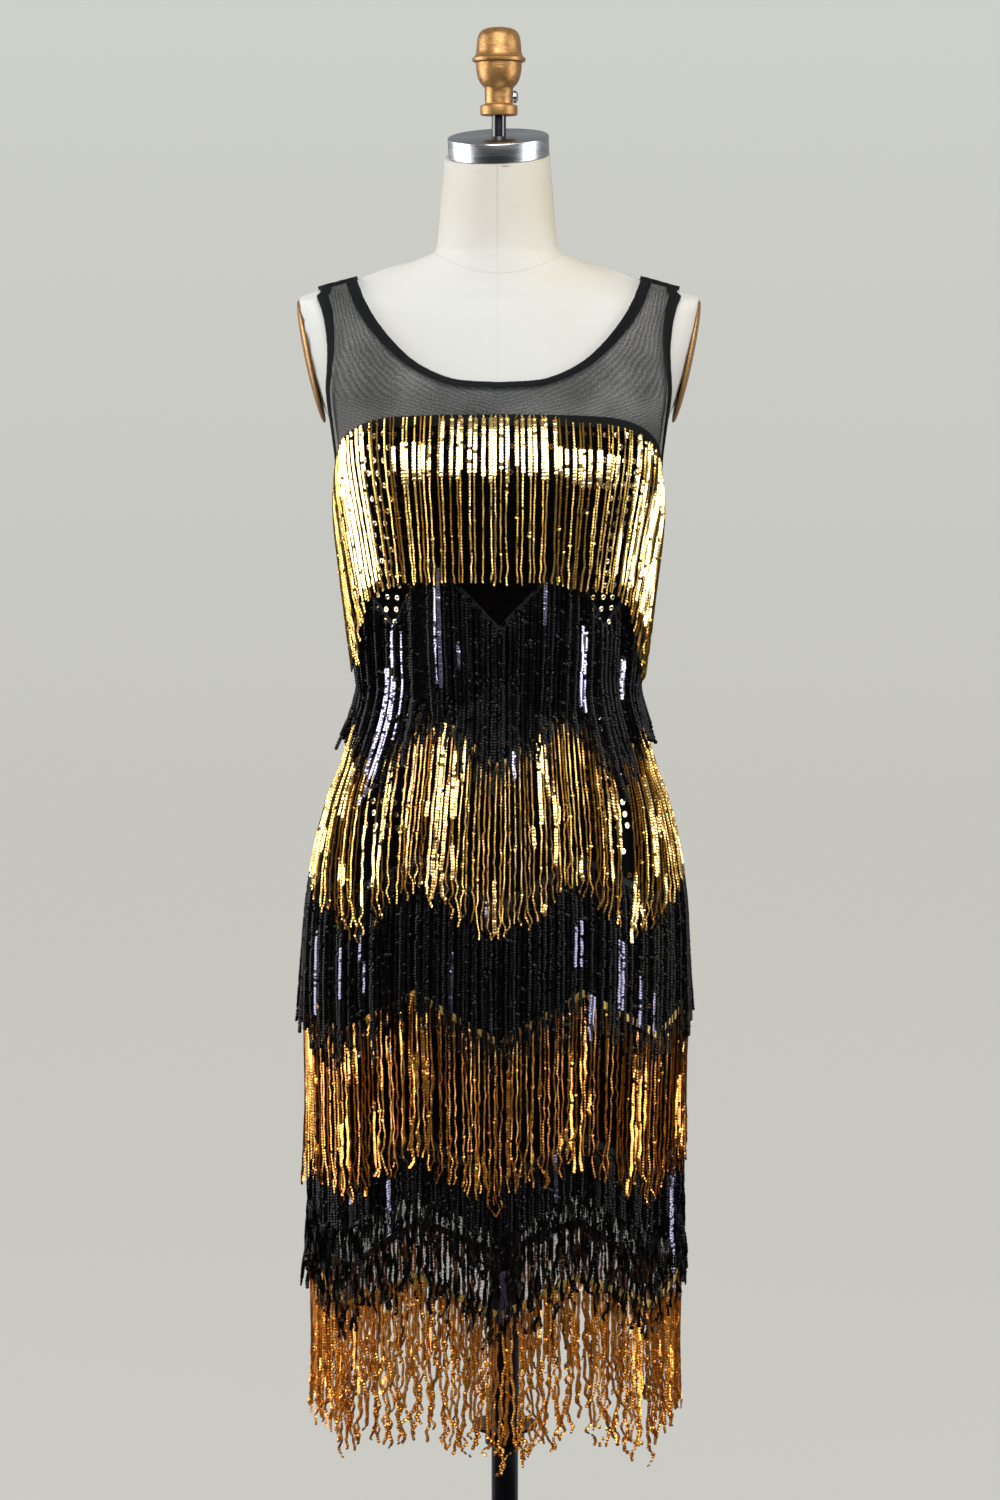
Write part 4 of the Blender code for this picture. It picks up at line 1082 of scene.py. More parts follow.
def flat_share(tier, turn, part, rng):
    """How flat each sequin lies on the body: 1 flat, 0 edge-on, where the strand hangs free."""
    count, steps = part.shape
    along = wander(rng, count, steps, 7, 1.0) * 0.3
    beside = wander(rng, 1, count, count // 3, 1.0)[0][:, None] * 0.4
    share = share_of(turn)[:, None]
    if on_bust_line(tier):
        start = np.where(share < 0.23, 0.0, 0.17)
        end = 0.365 + 0.02 * beside + rng.normal(0, 0.022, (count, 1))
        top = ramp(part, end, -0.02) * ramp(part, start, 0.02)
        top = top * np.where(share < 0.23, 1.15, 0.52) * (share < 0.5)
        side = ramp(share, 0.5, 0.05) * ramp(share, 0.9, -0.05) * ramp(part, 0.95, -0.1)
        likely = top + 0.35 * side
        along = along * np.where(share < 0.5, 0.15, 1.0)
        beside = beside * np.where(share < 0.23, 0.6, 1.0)
        likely = np.where(likely > 0.05, likely, -2.0)
    else:
        side = ramp(share, 0.4, 0.15)
        likely = tier.flat * (0.2 + 1.2 * side) - (0.7 if is_black(tier) else 0.0)
    likely = np.broadcast_to(likely + along + beside, part.shape).copy()
    for first, last, high, low in LIT_RUNS.get(tier.name, ()):
        for back in (0, 2):
            inside = (turn > first + back) & (turn < last + back)
            likely[inside[:, None] & (part > high) & (part < low)] = 1.0
    return ramp(likely, 0.42, 0.12)


def fringe(tier, finish):
    rng = np.random.default_rng(tier.seed)
    turn, points, normal, keep, part = strand_axes(tier, rng)
    for first, last in PARTED.get(tier.name, ()):
        keep = keep & ~((turn % 2 > first) & (turn % 2 < last))[:, None]
    count, steps = keep.shape
    along = unit(np.gradient(points, axis=1))
    aside = unit(np.cross(along, normal))
    normal = np.cross(aside, along)
    flat = flat_share(tier, turn, part, rng)
    way = rng.choice((-1, 1), count)[:, None]
    facing = np.arctan2(normal[..., 0], np.abs(normal[..., 1])) * np.where(turn < 2, 1, -1)[:, None]
    side_on = facing - np.where(way > 0, EDGE_LEFT, EDGE_RIGHT)
    if is_black(tier):
        side_on = facing + way * BLACK_TURN
    if tier.name == "copper_fringe_7":
        side_on = facing - 0.7 * np.where(way > 0, EDGE_LEFT, EDGE_RIGHT)
    coil = way * 2 * math.pi * SEQUIN_PITCH * np.arange(steps)[None, :] / tier.coil
    coil = coil + wander(rng, count, 2, 2, 3.0)[:, :1]
    side_on = np.where(part > tier.coil_from, coil, side_on)
    side_on = side_on + wander(rng, count, steps, 12, 0.08)
    sideways = rng.uniform(0.12, 0.45, count)[:, None] < np.abs(facing)
    if on_bust_line(tier):
        sideways = share_of(turn)[:, None] > 0.55
    aim = np.where(sideways, np.where(facing < 0, LIT_LEFT, LIT_RIGHT), 0.0)
    resting = np.clip(facing - aim, -0.9, 0.9) + wander(rng, count, steps, 9, 0.1)
    askew = BLACK_LOOSE if is_black(tier) else LOOSE
    loose = (rng.uniform(0, 1, keep.shape) < askew) * rng.normal(0, 0.5, keep.shape)
    twist = (side_on * (1 - flat) + resting * flat + loose)[..., None]
    deep = 0.0006 if is_black(tier) else SEQUIN_CUP
    cup = SEQUIN_FLAT + (deep - SEQUIN_FLAT) * (1 - flat)
    lying_lean = LYING_LEAN if on_bust_line(tier) else LOW_LYING_LEAN
    edge_lean = 0.0 if is_black(tier) else EDGE_LEAN
    lean = lying_lean + (edge_lean - lying_lean) * (1 - flat) + 0.6 * np.abs(loose)
    face = normal * np.cos(twist) + aside * np.sin(twist)
    across = unit(np.cross(along, face))
    verts, cells, tones = sequin_mesh(points, along, face, across, cup, lean, keep, rng)
    piece = mesh_piece(tier.name, verts, cells)
    tag_faces(piece, "tone", tones)
    tag_faces(piece, "lying", np.repeat(flat[keep], len(SEQUIN_CELLS)))
    uv = piece.data.uv_layers.new(name="sequin")
    uv.data.foreach_set("uv", np.tile(SEQUIN_MARKS.ravel(), len(cells) // len(SEQUIN_CELLS)))
    file_piece(piece, finish, tier.slot, tier.node)


def fringe_tape(tier, finish):
    """The woven tape that a tier's strands are sewn into, all round the body."""
    count = 720
    turn = np.linspace(0, 4, count, endpoint=False)
    middle = tape_height(tier, turn)
    at = squeezed(turn, tier.root)
    low, high = SHEATH_OUT + 0.0002, SHEATH_OUT + 0.0016
    below, above = -TAPE / 2, TAPE / 2
    if on_bust_line(tier):
        above += BUST_TAPE_GAP + BUST_TAPE_COVER
    corners = ((below, high), (above, high), (above, low), (below, low))
    points = np.stack([on_body(at, middle + way, out) for way, out in corners], 1)
    inwards = tube_faces(count, 4)[:, [0, 3, 2, 1]]
    piece = mesh_piece(tier.name + "_tape", points, inwards)
    rng = np.random.default_rng(tier.seed + 20)
    bits = np.repeat(rng.uniform(0, 1, count // 3) < TAPE_GOLD.get(tier.name, 0.0), 3)
    ground = 0.0 if on_bust_line(tier) else 0.3
    tag_faces(piece, "tone", np.repeat(np.where(bits, 1.0, ground), 4))
    file_piece(piece, finish, tier.slot)


# %% Sequin materials
# Sequins are punched from polyester film with a metal coat under a tinted lacquer, and cupped. The
# eye gets a mirror broken into small discs: deep amber where a disc turns away, near white where it
# lies flat and meets a lamp, a dark hole and a shaded rim on each. Part of the whiteness of flat
# discs is a painted highlight, a lighter base colour. The hole and the rim's shade are painted into
# the colour too.
def sequin_film(name, dark, light, rim, metallic, roughness, edge_on, painted_highlight_share, lit="#fff4d2",
                coat=0.2):
    """Metallised film: each sequin has its own tone, a dark hole painted in its middle and a
    painted shade on its rim; where it lies flat, a painted highlight turns its base colour towards
    the lit colour.
    """
    made = finish_called(name)
    tone = node(made, "Attribute", attribute_name="tone")
    tint = node(made, "ValToRGB", tone.outputs["Fac"], stops=[(0, dark), (1, light)])
    place = node(made, "UVMap", uv_map="sequin")
    outwards = node(made, "SeparateXYZ", place)
    # The hole and the rim take the rim colour: a painted hole, and a painted shade round the edge
    # of each sequin.
    hole_and_rim_shade = node(
        made, "ValToRGB", outwards.outputs[0],
        stops=[(0.1, "#ffffff"), (0.22, "#000000"), (0.74, "#000000"), (0.92, "#ffffff")],
    )
    lying = node(made, "Attribute", attribute_name="lying")
    # Flat-lying sequins turn towards the lit colour: a painted highlight.
    glare = node(made, "Math", lying.outputs["Fac"], painted_highlight_share, operation="MULTIPLY")
    opened = node(made, "Mix", glare, tint, lit, data_type="RGBA")
    edged = node(made, "Mix", hole_and_rim_shade, opened, rim, data_type="RGBA")
    hung = node(made, "MapRange", lying.outputs["Fac"], 0, 1, edge_on, roughness)
    dull = node(made, "Mix", hole_and_rim_shade, hung, 0.45)
    shader = node(
        made, "BsdfPrincipled", Base_Color=edged, Metallic=metallic, Roughness=dull,
        Coat_Weight=coat, Coat_IOR=1.5, Coat_Roughness=0.12,
    )
    shade(made, shader)
    return made


# The lit colour and its share give the painted highlight. The lower black tiers have a copy of the
# black film with a dimmer highlight.
FILMS = {tier_name: sequin_film(*finish) for tier_name, *finish in (
    ("gold_fringe_1", "gold sequin film", "#d69d2a", "#ffe48a", "#6a430a", 0.88, 0.16, 0.3, 0.55,
     "#ffe8a8"),
    ("gold_fringe_3", "old gold sequin film", "#be7a20", "#ffdc7a", "#4a2806", 0.88, 0.2, 0.28,
     0.15),
    ("amber_fringe_5", "amber sequin film", "#a85c12", "#f8b650", "#3a1a04", 0.85, 0.24, 0.28, 0.0),
    ("copper_fringe_7", "copper sequin film", "#b86408", "#ffb040", "#532806", 0.75, 0.22, 0.3,
     0.0),
    ("black_fringe_2", "black sequin film", "#08080a", "#19191b", "#040405", 0.8, 0.14, 0.34, 1.0,
     "#918da8", 0.0),
    ("lower black", "black sequin film, lower tiers", "#0a0909", "#1b1a19", "#050505", 0.8, 0.18,
     0.34, 1.0, "#5c586c", 0.0),
)}

# %% Tape materials
# Each trim's tape is woven of black yarn, with a few gilt threads that show where the tape turns
# out between two tiers. Its picks are 0.4 mm apart in the real tape, and drawn at 1.1 mm; the
# grooves between them are darkened, a painted shade.
TAPE_PICK = 0.0011
TAPE_GOLD = {"gold_fringe_3": 0.3, "amber_fringe_5": 0.55, "copper_fringe_7": 1.0}
woven = finish_called("woven fringe tape")
patch = node(woven, "Attribute", attribute_name="tone")
tint = node(
    woven, "ValToRGB", patch.outputs["Fac"],
    stops=[(0, "#040405"), (0.3, "#1e2224"), (0.45, "#212527"), (0.55, "#ffd374")],
)
shine = node(woven, "MapRange", patch.outputs["Fac"], 0.45, 0.55, 0, 0.6)
rough = node(woven, "MapRange", patch.outputs["Fac"], 0.45, 0.55, 0.7, 0.42)
picks = node(woven, "TexVoronoi", node(woven, "TexCoord").outputs["Object"], 1 / TAPE_PICK)
# Darker towards the edges of each pick: a painted shade in the grooves between them.
wear_and_pick_shade = node(woven, "MapRange", picks, 0.2, 0.7, 0, 0.55)
tint = node(woven, "Mix", wear_and_pick_shade, tint, "#030303", data_type="RGBA")
relief = node(woven, "Bump", Height=picks, Strength=0.5, Distance=0.0004, invert=True)
shade(woven, node(
    woven, "BsdfPrincipled", Base_Color=tint, Metallic=shine, Roughness=rough,
    Specular_IOR_Level=0.1, Normal=relief,
))
for tier in TIERS:
    fringe(tier, FILMS.get(tier.name, FILMS["lower black"]))
    fringe_tape(tier, woven)

# %% Ring sequins
RING_PITCH, RING_OUTER, RING_HOLE, RING_THICK, RING_SIDES = 0.0109, 0.0028, 0.0008, 0.00012, 7


def ring_sequins(panel, finish):
    """Single sequins with a hole, sewn on the sheath in staggered rows between the strands."""
    rng = np.random.default_rng({"front": 51, "back": 52}[panel])
    first = FIRST_TURN[panel]
    rows = np.arange(HEM_PEAK - 0.03, 1.31, RING_PITCH)
    places = []
    for j, height in enumerate(rows):
        half = mapped(MAP_PLACES, np.linspace(first, first + 2, 181), np.full(181, height))
        girth = np.linalg.norm(np.diff(half, axis=0), axis=1).sum()
        across = np.arange(0.5 * (j % 2) + 0.3, girth / RING_PITCH) * RING_PITCH / girth * 2
        places.append(np.stack([first + across, np.full_like(across, height)], 1))
    places = np.concatenate(places)
    turn, height = places.T
    turn = turn + rng.normal(0, 0.0025, len(turn))
    height = height + rng.normal(0, 0.0005, len(turn))
    low, high = sheath_hem(turn) + 0.003, sheath_top(turn) - 0.009
    kept = (height > low) & (height < high) & (turn > first + 0.02) & (turn < first + 1.98)
    kept &= (height > 0.94) | (rng.uniform(0, 1, len(turn)) < 0.3)
    turn, height = turn[kept], height[kept]
    normal = unit(unit(mapped(MAP_NORMALS, turn, height)) + rng.normal(0, 0.05, (len(turn), 3)))
    middle = on_body(turn, height, SHEATH_OUT + 0.0019)
    aside = unit(np.cross((0.0, 0.0, 1.0), normal))
    up = np.cross(normal, aside)
    angle = np.arange(RING_SIDES) * 2 * math.pi / RING_SIDES
    corners = []
    middle_radius = (RING_OUTER + RING_HOLE) / 2
    for radius, out in ((RING_OUTER, 0.0), (middle_radius, RING_THICK), (RING_HOLE, 0.0)):
        for a in angle:
            spoke = aside * math.cos(a) + up * math.sin(a)
            corners.append(middle + spoke * radius + normal * out)
    corners = np.stack(corners, 1)
    first_point = np.arange(len(corners))[:, None, None] * 3 * RING_SIDES
    faces = (first_point + tube_faces(3, RING_SIDES)[None]).reshape(-1, 4)
    piece = mesh_piece(f"ring_sequins_{panel}", corners, faces)
    # Rings in a band beside the centre, at heights between the tiers, get a light tone as a painted
    # highlight; the others stay dark, a painted shade.
    highlight_heights = (height > 1.1) | (np.abs(height - 0.99) < 0.07)
    painted_highlight_band = np.exp(-((share_of(turn) - 0.52) / 0.1) ** 2) * highlight_heights
    tones = rng.uniform(0, 0.12, len(corners)) + 0.85 * painted_highlight_band
    tag_faces(piece, "tone", np.repeat(tones, 3 * RING_SIDES))
    file_piece(piece, finish, "sequinned_knit")


# Larger flat sequins of bronze film with a hole in the middle: a small mirror each, a little
# scratched. The brown where it reflects the dark tiers and the silver where it meets a lamp are
# painted: most rings get a near-black brown base, a painted shade of the tiers over them. A band
# beside the centre line, between the tiers, gets a light cream base, a painted highlight.
ring_film = finish_called("bronze ring sequin film")
# The tone runs from the dark brown of the painted shade to the cream of the painted highlight.
tone = node(ring_film, "Attribute", attribute_name="tone")
tint = node(
    ring_film, "ValToRGB", tone.outputs["Fac"],
    stops=[(0, "#140b03"), (0.35, "#4a2d10"), (0.7, "#c8ad80"), (1, "#f0e6d0")],
)
place = node(ring_film, "TexCoord").outputs["Object"]
scratched = node(ring_film, "TexNoise", place, 1400, 3, 0.7)
tarnish = node(ring_film, "MapRange", scratched, 0.5, 0.75, 0, 0.5)
tint = node(ring_film, "Mix", tarnish, tint, "#2a1a0a", data_type="RGBA")
dull = node(ring_film, "MapRange", scratched, 0.3, 0.7, 0.1, 0.26)
shade(ring_film, node(ring_film, "BsdfPrincipled", Base_Color=tint, Metallic=0.9, Roughness=dull))
for panel in PANELS:
    ring_sequins(panel, ring_film)

# %% [markdown]
# ## The padded form
# A dress form is carved or cast, padded, and covered in stretched cotton jersey. Its arms end in
# oval plates. The cover is one smooth skin here, fine enough to show round under the light.

# %% Torso
TORSO_SIDES = 144
TORSO_HEIGHTS = (
    0.645, 0.65, *np.arange(0.67, 1.41, 0.02), 1.405, 1.41, 1.414, 1.4165, 1.4188, 1.4213, 1.4238,
    1.4283, 1.4328, 1.4364, 1.44, 1.443, 1.446, 1.449, 1.452, 1.455, 1.4572, 1.4588, 1.46, 1.4615,
    1.464, 1.468, 1.475, 1.485, 1.495, 1.505, 1.515, 1.525, 1.534, 1.54, 1.5445, 1.546,
)
RIDGE_SEAT = 0.0023
NECK_ASIDE = 0.0014
NECK_TILT, NECK_ROLL, TILT_FROM, NECK_TOP = math.radians(12.5), math.radians(2.2), 1.46, 1.546
PLATE_TOP_X, PLATE_TOP_Z, PLATE_LEAN = 0.18, 1.418, 0.21
SEAM_GAP = 0.0003


def tilted(points):
    """Leans the neck's top forward and to one side."""
    tilt = np.clip(points[..., 2] - TILT_FROM, 0, None) / (NECK_TOP - TILT_FROM)
    lean = points[..., 1] * math.tan(NECK_TILT) + points[..., 0] * math.tan(NECK_ROLL)
    return points + np.stack([tilt * 0, tilt * 0, tilt * lean], -1)


def torso(finish):
    height = np.array(TORSO_HEIGHTS)[:, None]
    angle = np.linspace(0, 2 * math.pi, TORSO_SIDES, endpoint=False)[None, :]
    half, front, back, power = (smooth(BODY, c, height) for c in (1, 2, 3, 4))
    along, across = np.cos(angle), np.sin(angle)
    depth = np.where(across < 0, front, back)
    radius = (np.abs(along / half) ** power + np.abs(across / depth) ** power) ** (-1 / power)
    points = np.stack([radius * along, radius * across, height + 0 * along], -1)
    normals = normals_at(points, (1e-7, 1e-7, 0))
    seat = RIDGE_SEAT * np.exp(-(points[..., 1] / 0.009) ** 2)
    seat = seat * ramp(height, 1.416, 0.006) * ramp(height, 1.451, -0.006)
    points = points + normals * seat[..., None]
    limit = PLATE_TOP_X - (PLATE_TOP_Z - points[..., 2]) * PLATE_LEAN - SEAM_GAP
    points[..., 0] = np.sign(points[..., 0]) * np.minimum(np.abs(points[..., 0]), limit)
    points = tilted(points)
    points[..., 0] -= NECK_ASIDE * ramp(height, 1.42, 0.03)
    rows = len(TORSO_HEIGHTS)
    faces = [*tube_faces(rows, TORSO_SIDES, False), *end_caps(rows, TORSO_SIDES)]
    piece = mesh_piece("cotton_torso", points, faces, True)
    piece.data.set_sharp_from_angle(angle=math.radians(38))
    return file_piece(piece, finish, "cotton_cover", "form_torso")


# Cotton jersey stretched over padding and sized with glue: a matte warm white with random yellower
# patches, yellower and a little darker towards the top of the neck, and a painted shade that makes
# its right side darker and yellower than its left. It has a fine knit that only shows close up.
# Loops are 0.5 mm apart in the real cloth and 1.5 mm here. A seam with small stitches runs down the
# centre front, and a bowed one crosses the base of the neck. Their darker lines are partly stitch
# thread and partly a painted shade of the seam's fold.
COTTON_LOOP, SEAM_STITCH = 0.0015, 0.003
SEAM_OFF_CENTRE = 0.0014
NECK_SEAM_BOW, NECK_SEAM_Z = 5.6, 1.44
cotton = finish_called("cream cotton jersey")
place = node(cotton, "TexCoord").outputs["Object"]
parts = node(cotton, "SeparateXYZ", place)
x, y, z = parts.outputs
ageing = node(cotton, "TexNoise", place, 6, 4, 0.6)
# Darker and yellower to the right: a painted shade for the side that is less lit.
aside = node(cotton, "MapRange", x, -0.06, 0.06, -0.06, 0.06)
upwards = node(cotton, "MapRange", z, 1.42, 1.5, -0.14, 0.18)
ageing_and_side_shade = node(cotton, "Math", ageing, aside, operation="ADD")
ageing_and_side_shade = node(cotton, "Math", ageing_and_side_shade, upwards, operation="ADD")
cloth_tint = node(
    cotton, "ValToRGB", ageing_and_side_shade, stops=[(0.3, "#acaca8"), (0.58, "#aba8a0"), (0.9, "#a79f8c")],
)
front = node(cotton, "Math", y, 0, operation="LESS_THAN")

# The seams: how far a place is from each, then the stitches along them. Their darker line is partly
# stitch thread and partly a painted shade of the seam's fold.
off_centre = node(cotton, "Math", x, SEAM_OFF_CENTRE, operation="ADD")
off_centre = node(cotton, "Math", off_centre, operation="ABSOLUTE")
centre_seam = node(cotton, "MapRange", off_centre, 0.0003, 0.0008, 1, 0)
bow = node(cotton, "Math", x, x, operation="MULTIPLY")
bow = node(cotton, "Math", bow, NECK_SEAM_BOW, NECK_SEAM_Z, operation="MULTIPLY_ADD")
off_bow = node(cotton, "Math", z, bow, operation="SUBTRACT")
off_bow = node(cotton, "Math", off_bow, operation="ABSOLUTE")
neck_seam = node(cotton, "MapRange", off_bow, 0.0003, 0.0009, 0.36, 0)
lower = node(cotton, "MapRange", z, 1.436, 1.55, 0.16, 0.75)
centre_seam = node(cotton, "Math", centre_seam, lower, operation="MULTIPLY")
seams = node(cotton, "Math", centre_seam, neck_seam, operation="MAXIMUM")
along = node(cotton, "Math", z, x, operation="ADD")
beat = node(cotton, "Math", along, 2 * math.pi / SEAM_STITCH, operation="MULTIPLY")
stitch = node(cotton, "Math", beat, operation="SINE")
stitch = node(cotton, "MapRange", stitch, -1, 1, 0.15, 0.75)
seams = node(cotton, "Math", seams, front, operation="MULTIPLY")
stitch_and_fold_shade = node(cotton, "Math", seams, stitch, operation="MULTIPLY")
sewn = node(cotton, "Mix", stitch_and_fold_shade, cloth_tint, "#6f6858", data_type="RGBA")

# %% Cotton jersey: scuff and knit
SCUFF_X, SCUFF_Z = 0.006, 1.5345
spot = node(cotton, "Mapping", place, Location=(-SCUFF_X, 0, -SCUFF_Z), Scale=(1, 0, 4))
spot = node(cotton, "VectorMath", spot, (0, 0, -3 * SCUFF_Z), operation="ADD")
away = node(cotton, "VectorMath", spot, operation="LENGTH")
rough_edge = node(cotton, "TexNoise", place, 900, 2)
rough_edge = node(cotton, "Math", rough_edge, 0.008, away, operation="MULTIPLY_ADD")
scuff = node(cotton, "MapRange", rough_edge, 0.006, 0.0095, 0.7, 0)
scuff = node(cotton, "Math", scuff, front, operation="MULTIPLY")
wear_and_pick_shade = node(cotton, "Mix", scuff, sewn, "#7a5c40", data_type="RGBA")
knit_loops = node(cotton, "TexVoronoi", place, 1 / COTTON_LOOP)
dents = node(cotton, "Math", seams, -3, knit_loops, operation="MULTIPLY_ADD")
relief = node(cotton, "Bump", Height=dents, Strength=0.22, Distance=0.0003)
shade(cotton, node(
    cotton, "BsdfPrincipled", Base_Color=wear_and_pick_shade, Roughness=0.9, Specular_IOR_Level=0.2,
    Sheen_Weight=0.02, Normal=relief,
))
torso_piece = torso(cotton)

# %% [markdown]
# ## Turned and brushed metal
# The knob, cap, rod, pole and base are made on a lathe. So are they here: a profile is extruded
# point by point and spun round the upright axis.

# %% A lathe
def turned_piece(name, profile, steps=96, sharp=35):
    """A profile of (radius, height) points, extruded one by one and spun round the Z axis."""
    clear_selection()
    bpy.ops.mesh.primitive_plane_add(size=0.01, location=(0, 0, 0))
    piece = bpy.context.object
    piece.name = piece.data.name = name
    bpy.ops.object.mode_set(mode="EDIT")
    bpy.ops.mesh.select_all(action="SELECT")
    bpy.ops.mesh.merge(type="CENTER")
    bpy.ops.transform.translate(value=(profile[0][0], 0, profile[0][1]))
    for (r0, z0), (r1, z1) in zip(profile, profile[1:]):
        bpy.ops.mesh.extrude_region_move(TRANSFORM_OT_translate={"value": (r1 - r0, 0, z1 - z0)})
    bpy.ops.mesh.select_all(action="SELECT")
    bpy.ops.mesh.spin(steps=steps, angle=2 * math.pi, center=(0, 0, 0), axis=(0, 0, 1))
    bpy.ops.mesh.select_all(action="SELECT")
    bpy.ops.mesh.remove_doubles(threshold=1e-5)
    bpy.ops.mesh.normals_make_consistent(inside=False)
    bpy.ops.object.mode_set(mode="OBJECT")
    bpy.ops.object.shade_smooth_by_angle(angle=math.radians(sharp))
    return piece


def settle(piece):
    """Applies a piece's place and turn, so that its object sits at the origin."""
    clear_selection()
    piece.select_set(True)
    bpy.context.view_layer.objects.active = piece
    bpy.ops.object.transform_apply(location=True, rotation=True, scale=True)
    return piece


# %% Metals
# Bronze-powder gilt paint, brushed by hand over turned wood or cast metal: a warm satin gold with
# brush strokes, darker where it has rubbed, and an uneven, slightly lumpy skin.
gilt = finish_called("bronze powder gilt paint")
place = node(gilt, "TexCoord").outputs["Object"]
strokes = node(gilt, "Mapping", place, Scale=(1, 1, 3))
brushed_on = node(gilt, "TexNoise", strokes, 190, 4, 0.65)
rubbed = node(gilt, "TexNoise", place, 70, 5, 0.7)
fresh = node(gilt, "ValToRGB", brushed_on, stops=[(0.3, "#7e582c"), (0.7, "#a27c4a")])
patchy = node(gilt, "MapRange", rubbed, 0.56, 0.72, 0, 0.65)
tint = node(gilt, "Mix", patchy, fresh, "#603f20", data_type="RGBA")
dull = node(gilt, "MapRange", rubbed, 0.3, 0.7, 0.3, 0.46)
relief = node(gilt, "Bump", Height=brushed_on, Strength=0.35, Distance=0.0012)
shade(gilt, node(
    gilt, "BsdfPrincipled", Base_Color=tint, Metallic=0.65, Roughness=dull, Normal=relief,
))

# Stainless steel sheet, brushed round its rim: fine level scratches 0.4 mm apart that stretch each
# reflection into an upright band, and a few darker handling marks.
steel = finish_called("brushed stainless steel")
place = node(steel, "TexCoord").outputs["Object"]
drawn = node(steel, "Mapping", place, Scale=(12, 12, 2600))
scratches = node(steel, "TexNoise", drawn, 1, 2, 0.6)
handled = node(steel, "TexNoise", place, 55, 3)
marks = node(steel, "Math", scratches, handled, operation="MULTIPLY")
tint = node(steel, "ValToRGB", marks, stops=[(0.12, "#a2a5a8"), (0.4, "#b4b7b9")])
dull = node(steel, "MapRange", scratches, 0.3, 0.7, 0.22, 0.31)
relief = node(steel, "Bump", Height=scratches, Strength=0.05, Distance=0.0002)
round_it = node(steel, "Tangent", direction_type="RADIAL", axis="Z")
shade(steel, node(
    steel, "BsdfPrincipled", Base_Color=tint, Metallic=1, Roughness=dull, Anisotropic=0.55,
    Tangent=round_it, Normal=relief,
))

# Stoved enamel on steel tube: deep gloss black with a faint orange-peel ripple, dust and rub marks.
enamel = finish_called("black stoved enamel")
place = node(enamel, "TexCoord").outputs["Object"]
peel = node(enamel, "TexNoise", place, 420, 1)
dust = node(enamel, "TexNoise", place, 25, 6, 0.7)
tint = node(enamel, "ValToRGB", dust, stops=[(0.45, "#08080a"), (0.8, "#17181b")])
dull = node(enamel, "MapRange", dust, 0.35, 0.75, 0.14, 0.34)
relief = node(enamel, "Bump", Height=peel, Strength=0.06, Distance=0.0005)
shade(enamel, node(
    enamel, "BsdfPrincipled", Base_Color=tint, Roughness=dull, Coat_Weight=0.3, Normal=relief,
))

# %% Finial, cap and rod
ROD_HOLE = 0.007
FINIAL = (
    (0, 1.66), (0.006, 1.6598), (0.011, 1.659), (0.0143, 1.6577), (0.0165, 1.656),
    (0.0181, 1.6535), (0.0192, 1.65), (0.0198, 1.645), (0.0203, 1.638), (0.0215, 1.6345),
    (0.0228, 1.6333), (0.024, 1.6325), (0.024, 1.631), (0.0236, 1.6298), (0.022, 1.629),
    (0.0205, 1.6285), (0.0205, 1.625), (0.0203, 1.622), (0.0196, 1.618), (0.0185, 1.614),
    (0.017, 1.611), (0.015, 1.6085), (0.0136, 1.6071), (0.0128, 1.606), (0.0126, 1.6),
    (0.0125, 1.5925), (0.0135, 1.5914), (0.016, 1.591), (0.0166, 1.5904), (0.0168, 1.5895),
    (0.0168, 1.5835), (0.0164, 1.5824), (0.0155, 1.582), (ROD_HOLE, 1.582), (ROD_HOLE, 1.615),
    (0, 1.615),
)
knob = turned_piece("gilt_finial", FINIAL)
file_piece(knob, gilt, "gilt_metal", "finial")

CAP_RADIUS, CAP_HEIGHT = 0.0455, 0.0176
CAP = (
    (0, 0), (CAP_RADIUS - 0.0006, 0), (CAP_RADIUS, 0.0006), (CAP_RADIUS, CAP_HEIGHT - 0.0012),
    (CAP_RADIUS - 0.0004, CAP_HEIGHT - 0.0004), (CAP_RADIUS - 0.0012, CAP_HEIGHT), (0, CAP_HEIGHT),
)
cap = turned_piece("steel_neck_cap", [(r, z + SEAM_GAP) for r, z in CAP[::-1]], 128)
cap.location = (0.0, 0.0, NECK_TOP)
cap.rotation_euler = (NECK_TILT, -NECK_ROLL, 0.0)
file_piece(settle(cap), steel, "brushed_steel", "neck_cap")

ROD_RADIUS = 0.0065
ROD_PROFILE = ((0, 1.6147), (ROD_RADIUS, 1.6147), (ROD_RADIUS, 1.5503), (0, 1.5503))
rod = turned_piece("black_top_rod", ROD_PROFILE, 48)
file_piece(rod, enamel, "black_steel", "top_rod")

SCREW_Z = 1.5985
screw = turned_piece("finial_set_screw", (
    (0.0, 0.0173), (0.002, 0.0172), (0.0033, 0.0169), (0.0045, 0.0161), (0.0055, 0.0153),
    (0.0055, 0.0131), (0.0016, 0.0131), (0.0016, 0.0068), (0.0, 0.0068),
), 32)
screw.location = (0.0, 0.0, SCREW_Z)
screw.rotation_euler = (0.0, math.pi / 2, 0.0)
file_piece(settle(screw), steel, "brushed_steel", "finial_screw")

# %% Arm plates
PLATE_DEPTH, PLATE_HEIGHT, PLATE_MIDDLE_Z = 0.037, 0.0562, 1.362
PLATE_THICK, RIM_THICK = 0.0064, 0.0014


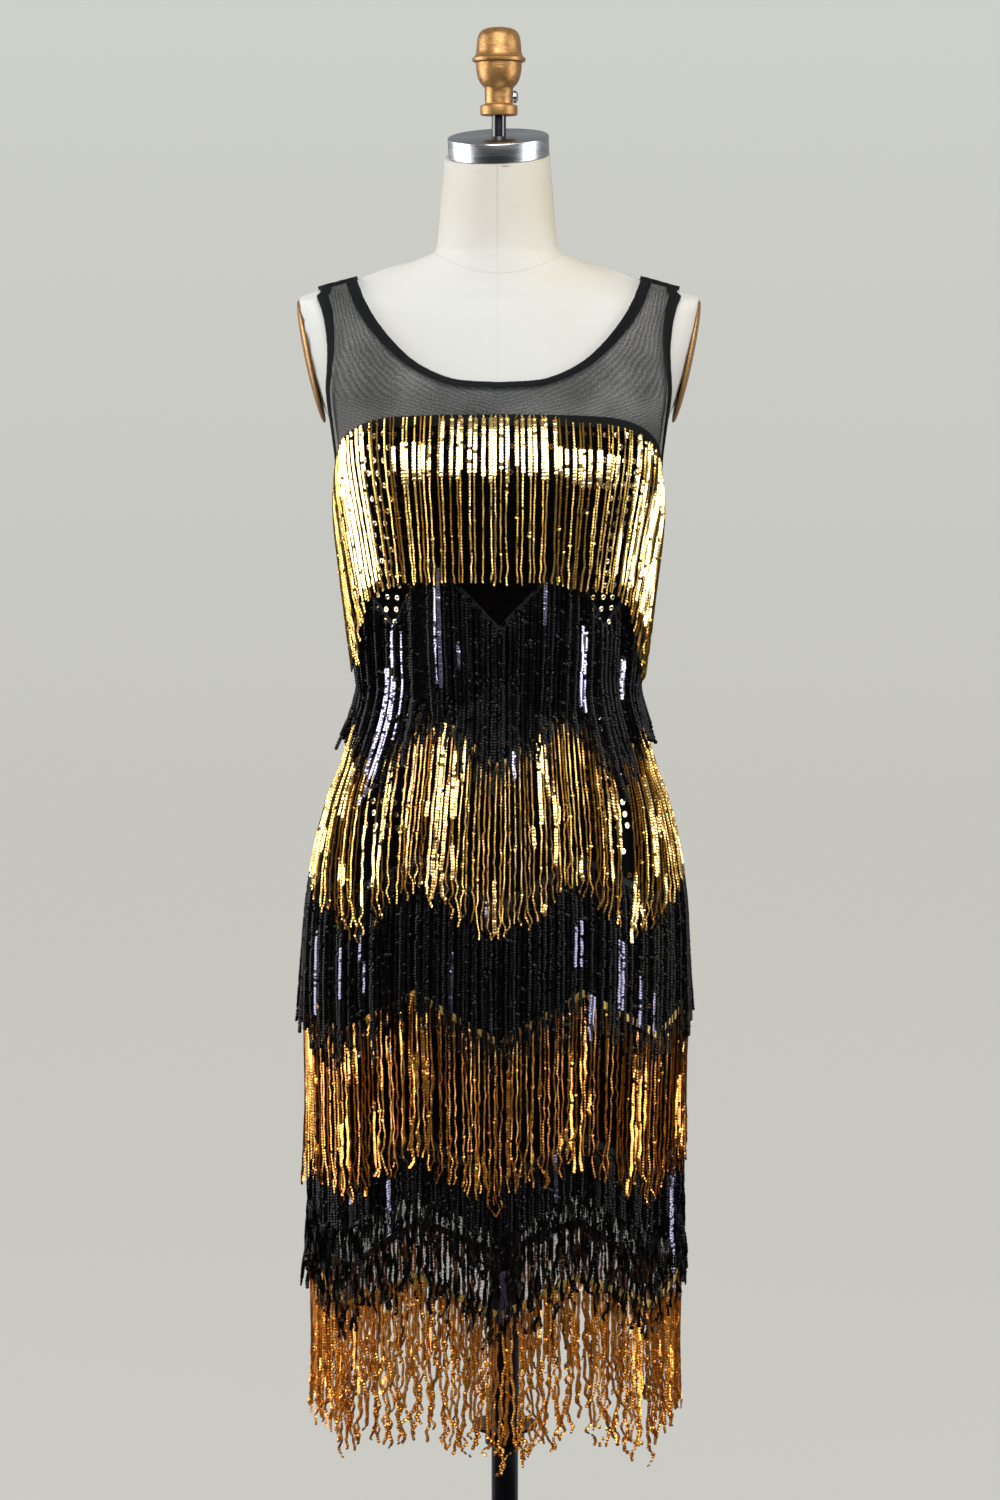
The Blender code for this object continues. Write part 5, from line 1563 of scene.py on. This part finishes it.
def arm_plate(word, side):
    turns = np.radians((88, 80, 70, 58, 45, 30, 15))
    dome = [(math.sin(a), RIM_THICK + (PLATE_THICK - RIM_THICK) * math.cos(a)) for a in turns]
    edge = ((0, 0), (0.98, 0), (0.995, 0.0003), (1, 0.0008), *dome, (0, PLATE_THICK))
    profile = [(r, z - PLATE_THICK / 2) for r, z in edge[::-1]]
    piece = turned_piece(f"gilt_arm_plate_{word}", profile, 96)
    lean = math.atan(PLATE_LEAN)
    middle = PLATE_TOP_X - (PLATE_TOP_Z - PLATE_MIDDLE_Z) * PLATE_LEAN
    middle += PLATE_THICK / 2 * math.cos(lean)
    piece.scale = (PLATE_HEIGHT, PLATE_DEPTH, 1.0)
    piece.location = (side * middle, 0.0, PLATE_MIDDLE_Z)
    piece.rotation_euler = (0.0, side * (math.pi / 2 + lean), 0.0)
    file_piece(settle(piece), gilt, "gilt_metal", f"arm_plate_{word}")


for word, side in SIDES:
    arm_plate(word, side)

# %% Stand
POLE_RADIUS, POLE_TOP, POLE_LOW = 0.0125, 0.63, 0.0303
STAND_ASIDE = 0.0055
SLEEVE_RADIUS, SLEEVE_BORE, SLEEVE_LOW = 0.0138, 0.0128, 0.377
DISC_TOP = SLEEVE_LOW - SEAM_GAP
STAND = (
    ("pole", 64, (
        (0, POLE_TOP), (0.0115, POLE_TOP), (POLE_RADIUS, POLE_TOP - 0.001), (POLE_RADIUS, POLE_LOW),
        (0, POLE_LOW),
    )),
    ("sleeve", 64, (
        (0, 0.6447), (SLEEVE_RADIUS, 0.6447), (SLEEVE_RADIUS, SLEEVE_LOW),
        (SLEEVE_BORE, SLEEVE_LOW), (SLEEVE_BORE, POLE_TOP + SEAM_GAP), (0, POLE_TOP + SEAM_GAP),
    )),
    ("disc", 64, [(radius, DISC_TOP - below) for radius, below in (
        (SLEEVE_BORE, 0), (0.0299, 0), (0.0305, 0.0006), (0.0305, 0.0026), (0.0301, 0.003),
        (0.0185, 0.003), (0.0185, 0.0184), (0.018, 0.019), (SLEEVE_BORE, 0.019), (SLEEVE_BORE, 0),
    )]),
    ("base", 128, (
        (0, 0.03), (SLEEVE_BORE, 0.03), (SLEEVE_BORE, 0.08), (0.024, 0.08), (0.026, 0.0793),
        (0.027, 0.077), (0.028, 0.058), (0.03, 0.042), (0.034, 0.035), (0.042, 0.03), (0.1, 0.023),
        (0.21, 0.016), (0.215, 0.0152), (0.2185, 0.013), (0.22, 0.01), (0.22, 0), (0, 0),
    )),
)
for word, steps, profile in STAND:
    piece = turned_piece(f"stand_{word}_enamelled", profile, steps)
    piece.location.x = STAND_ASIDE
    file_piece(settle(piece), enamel, "black_steel", f"stand_{word}")
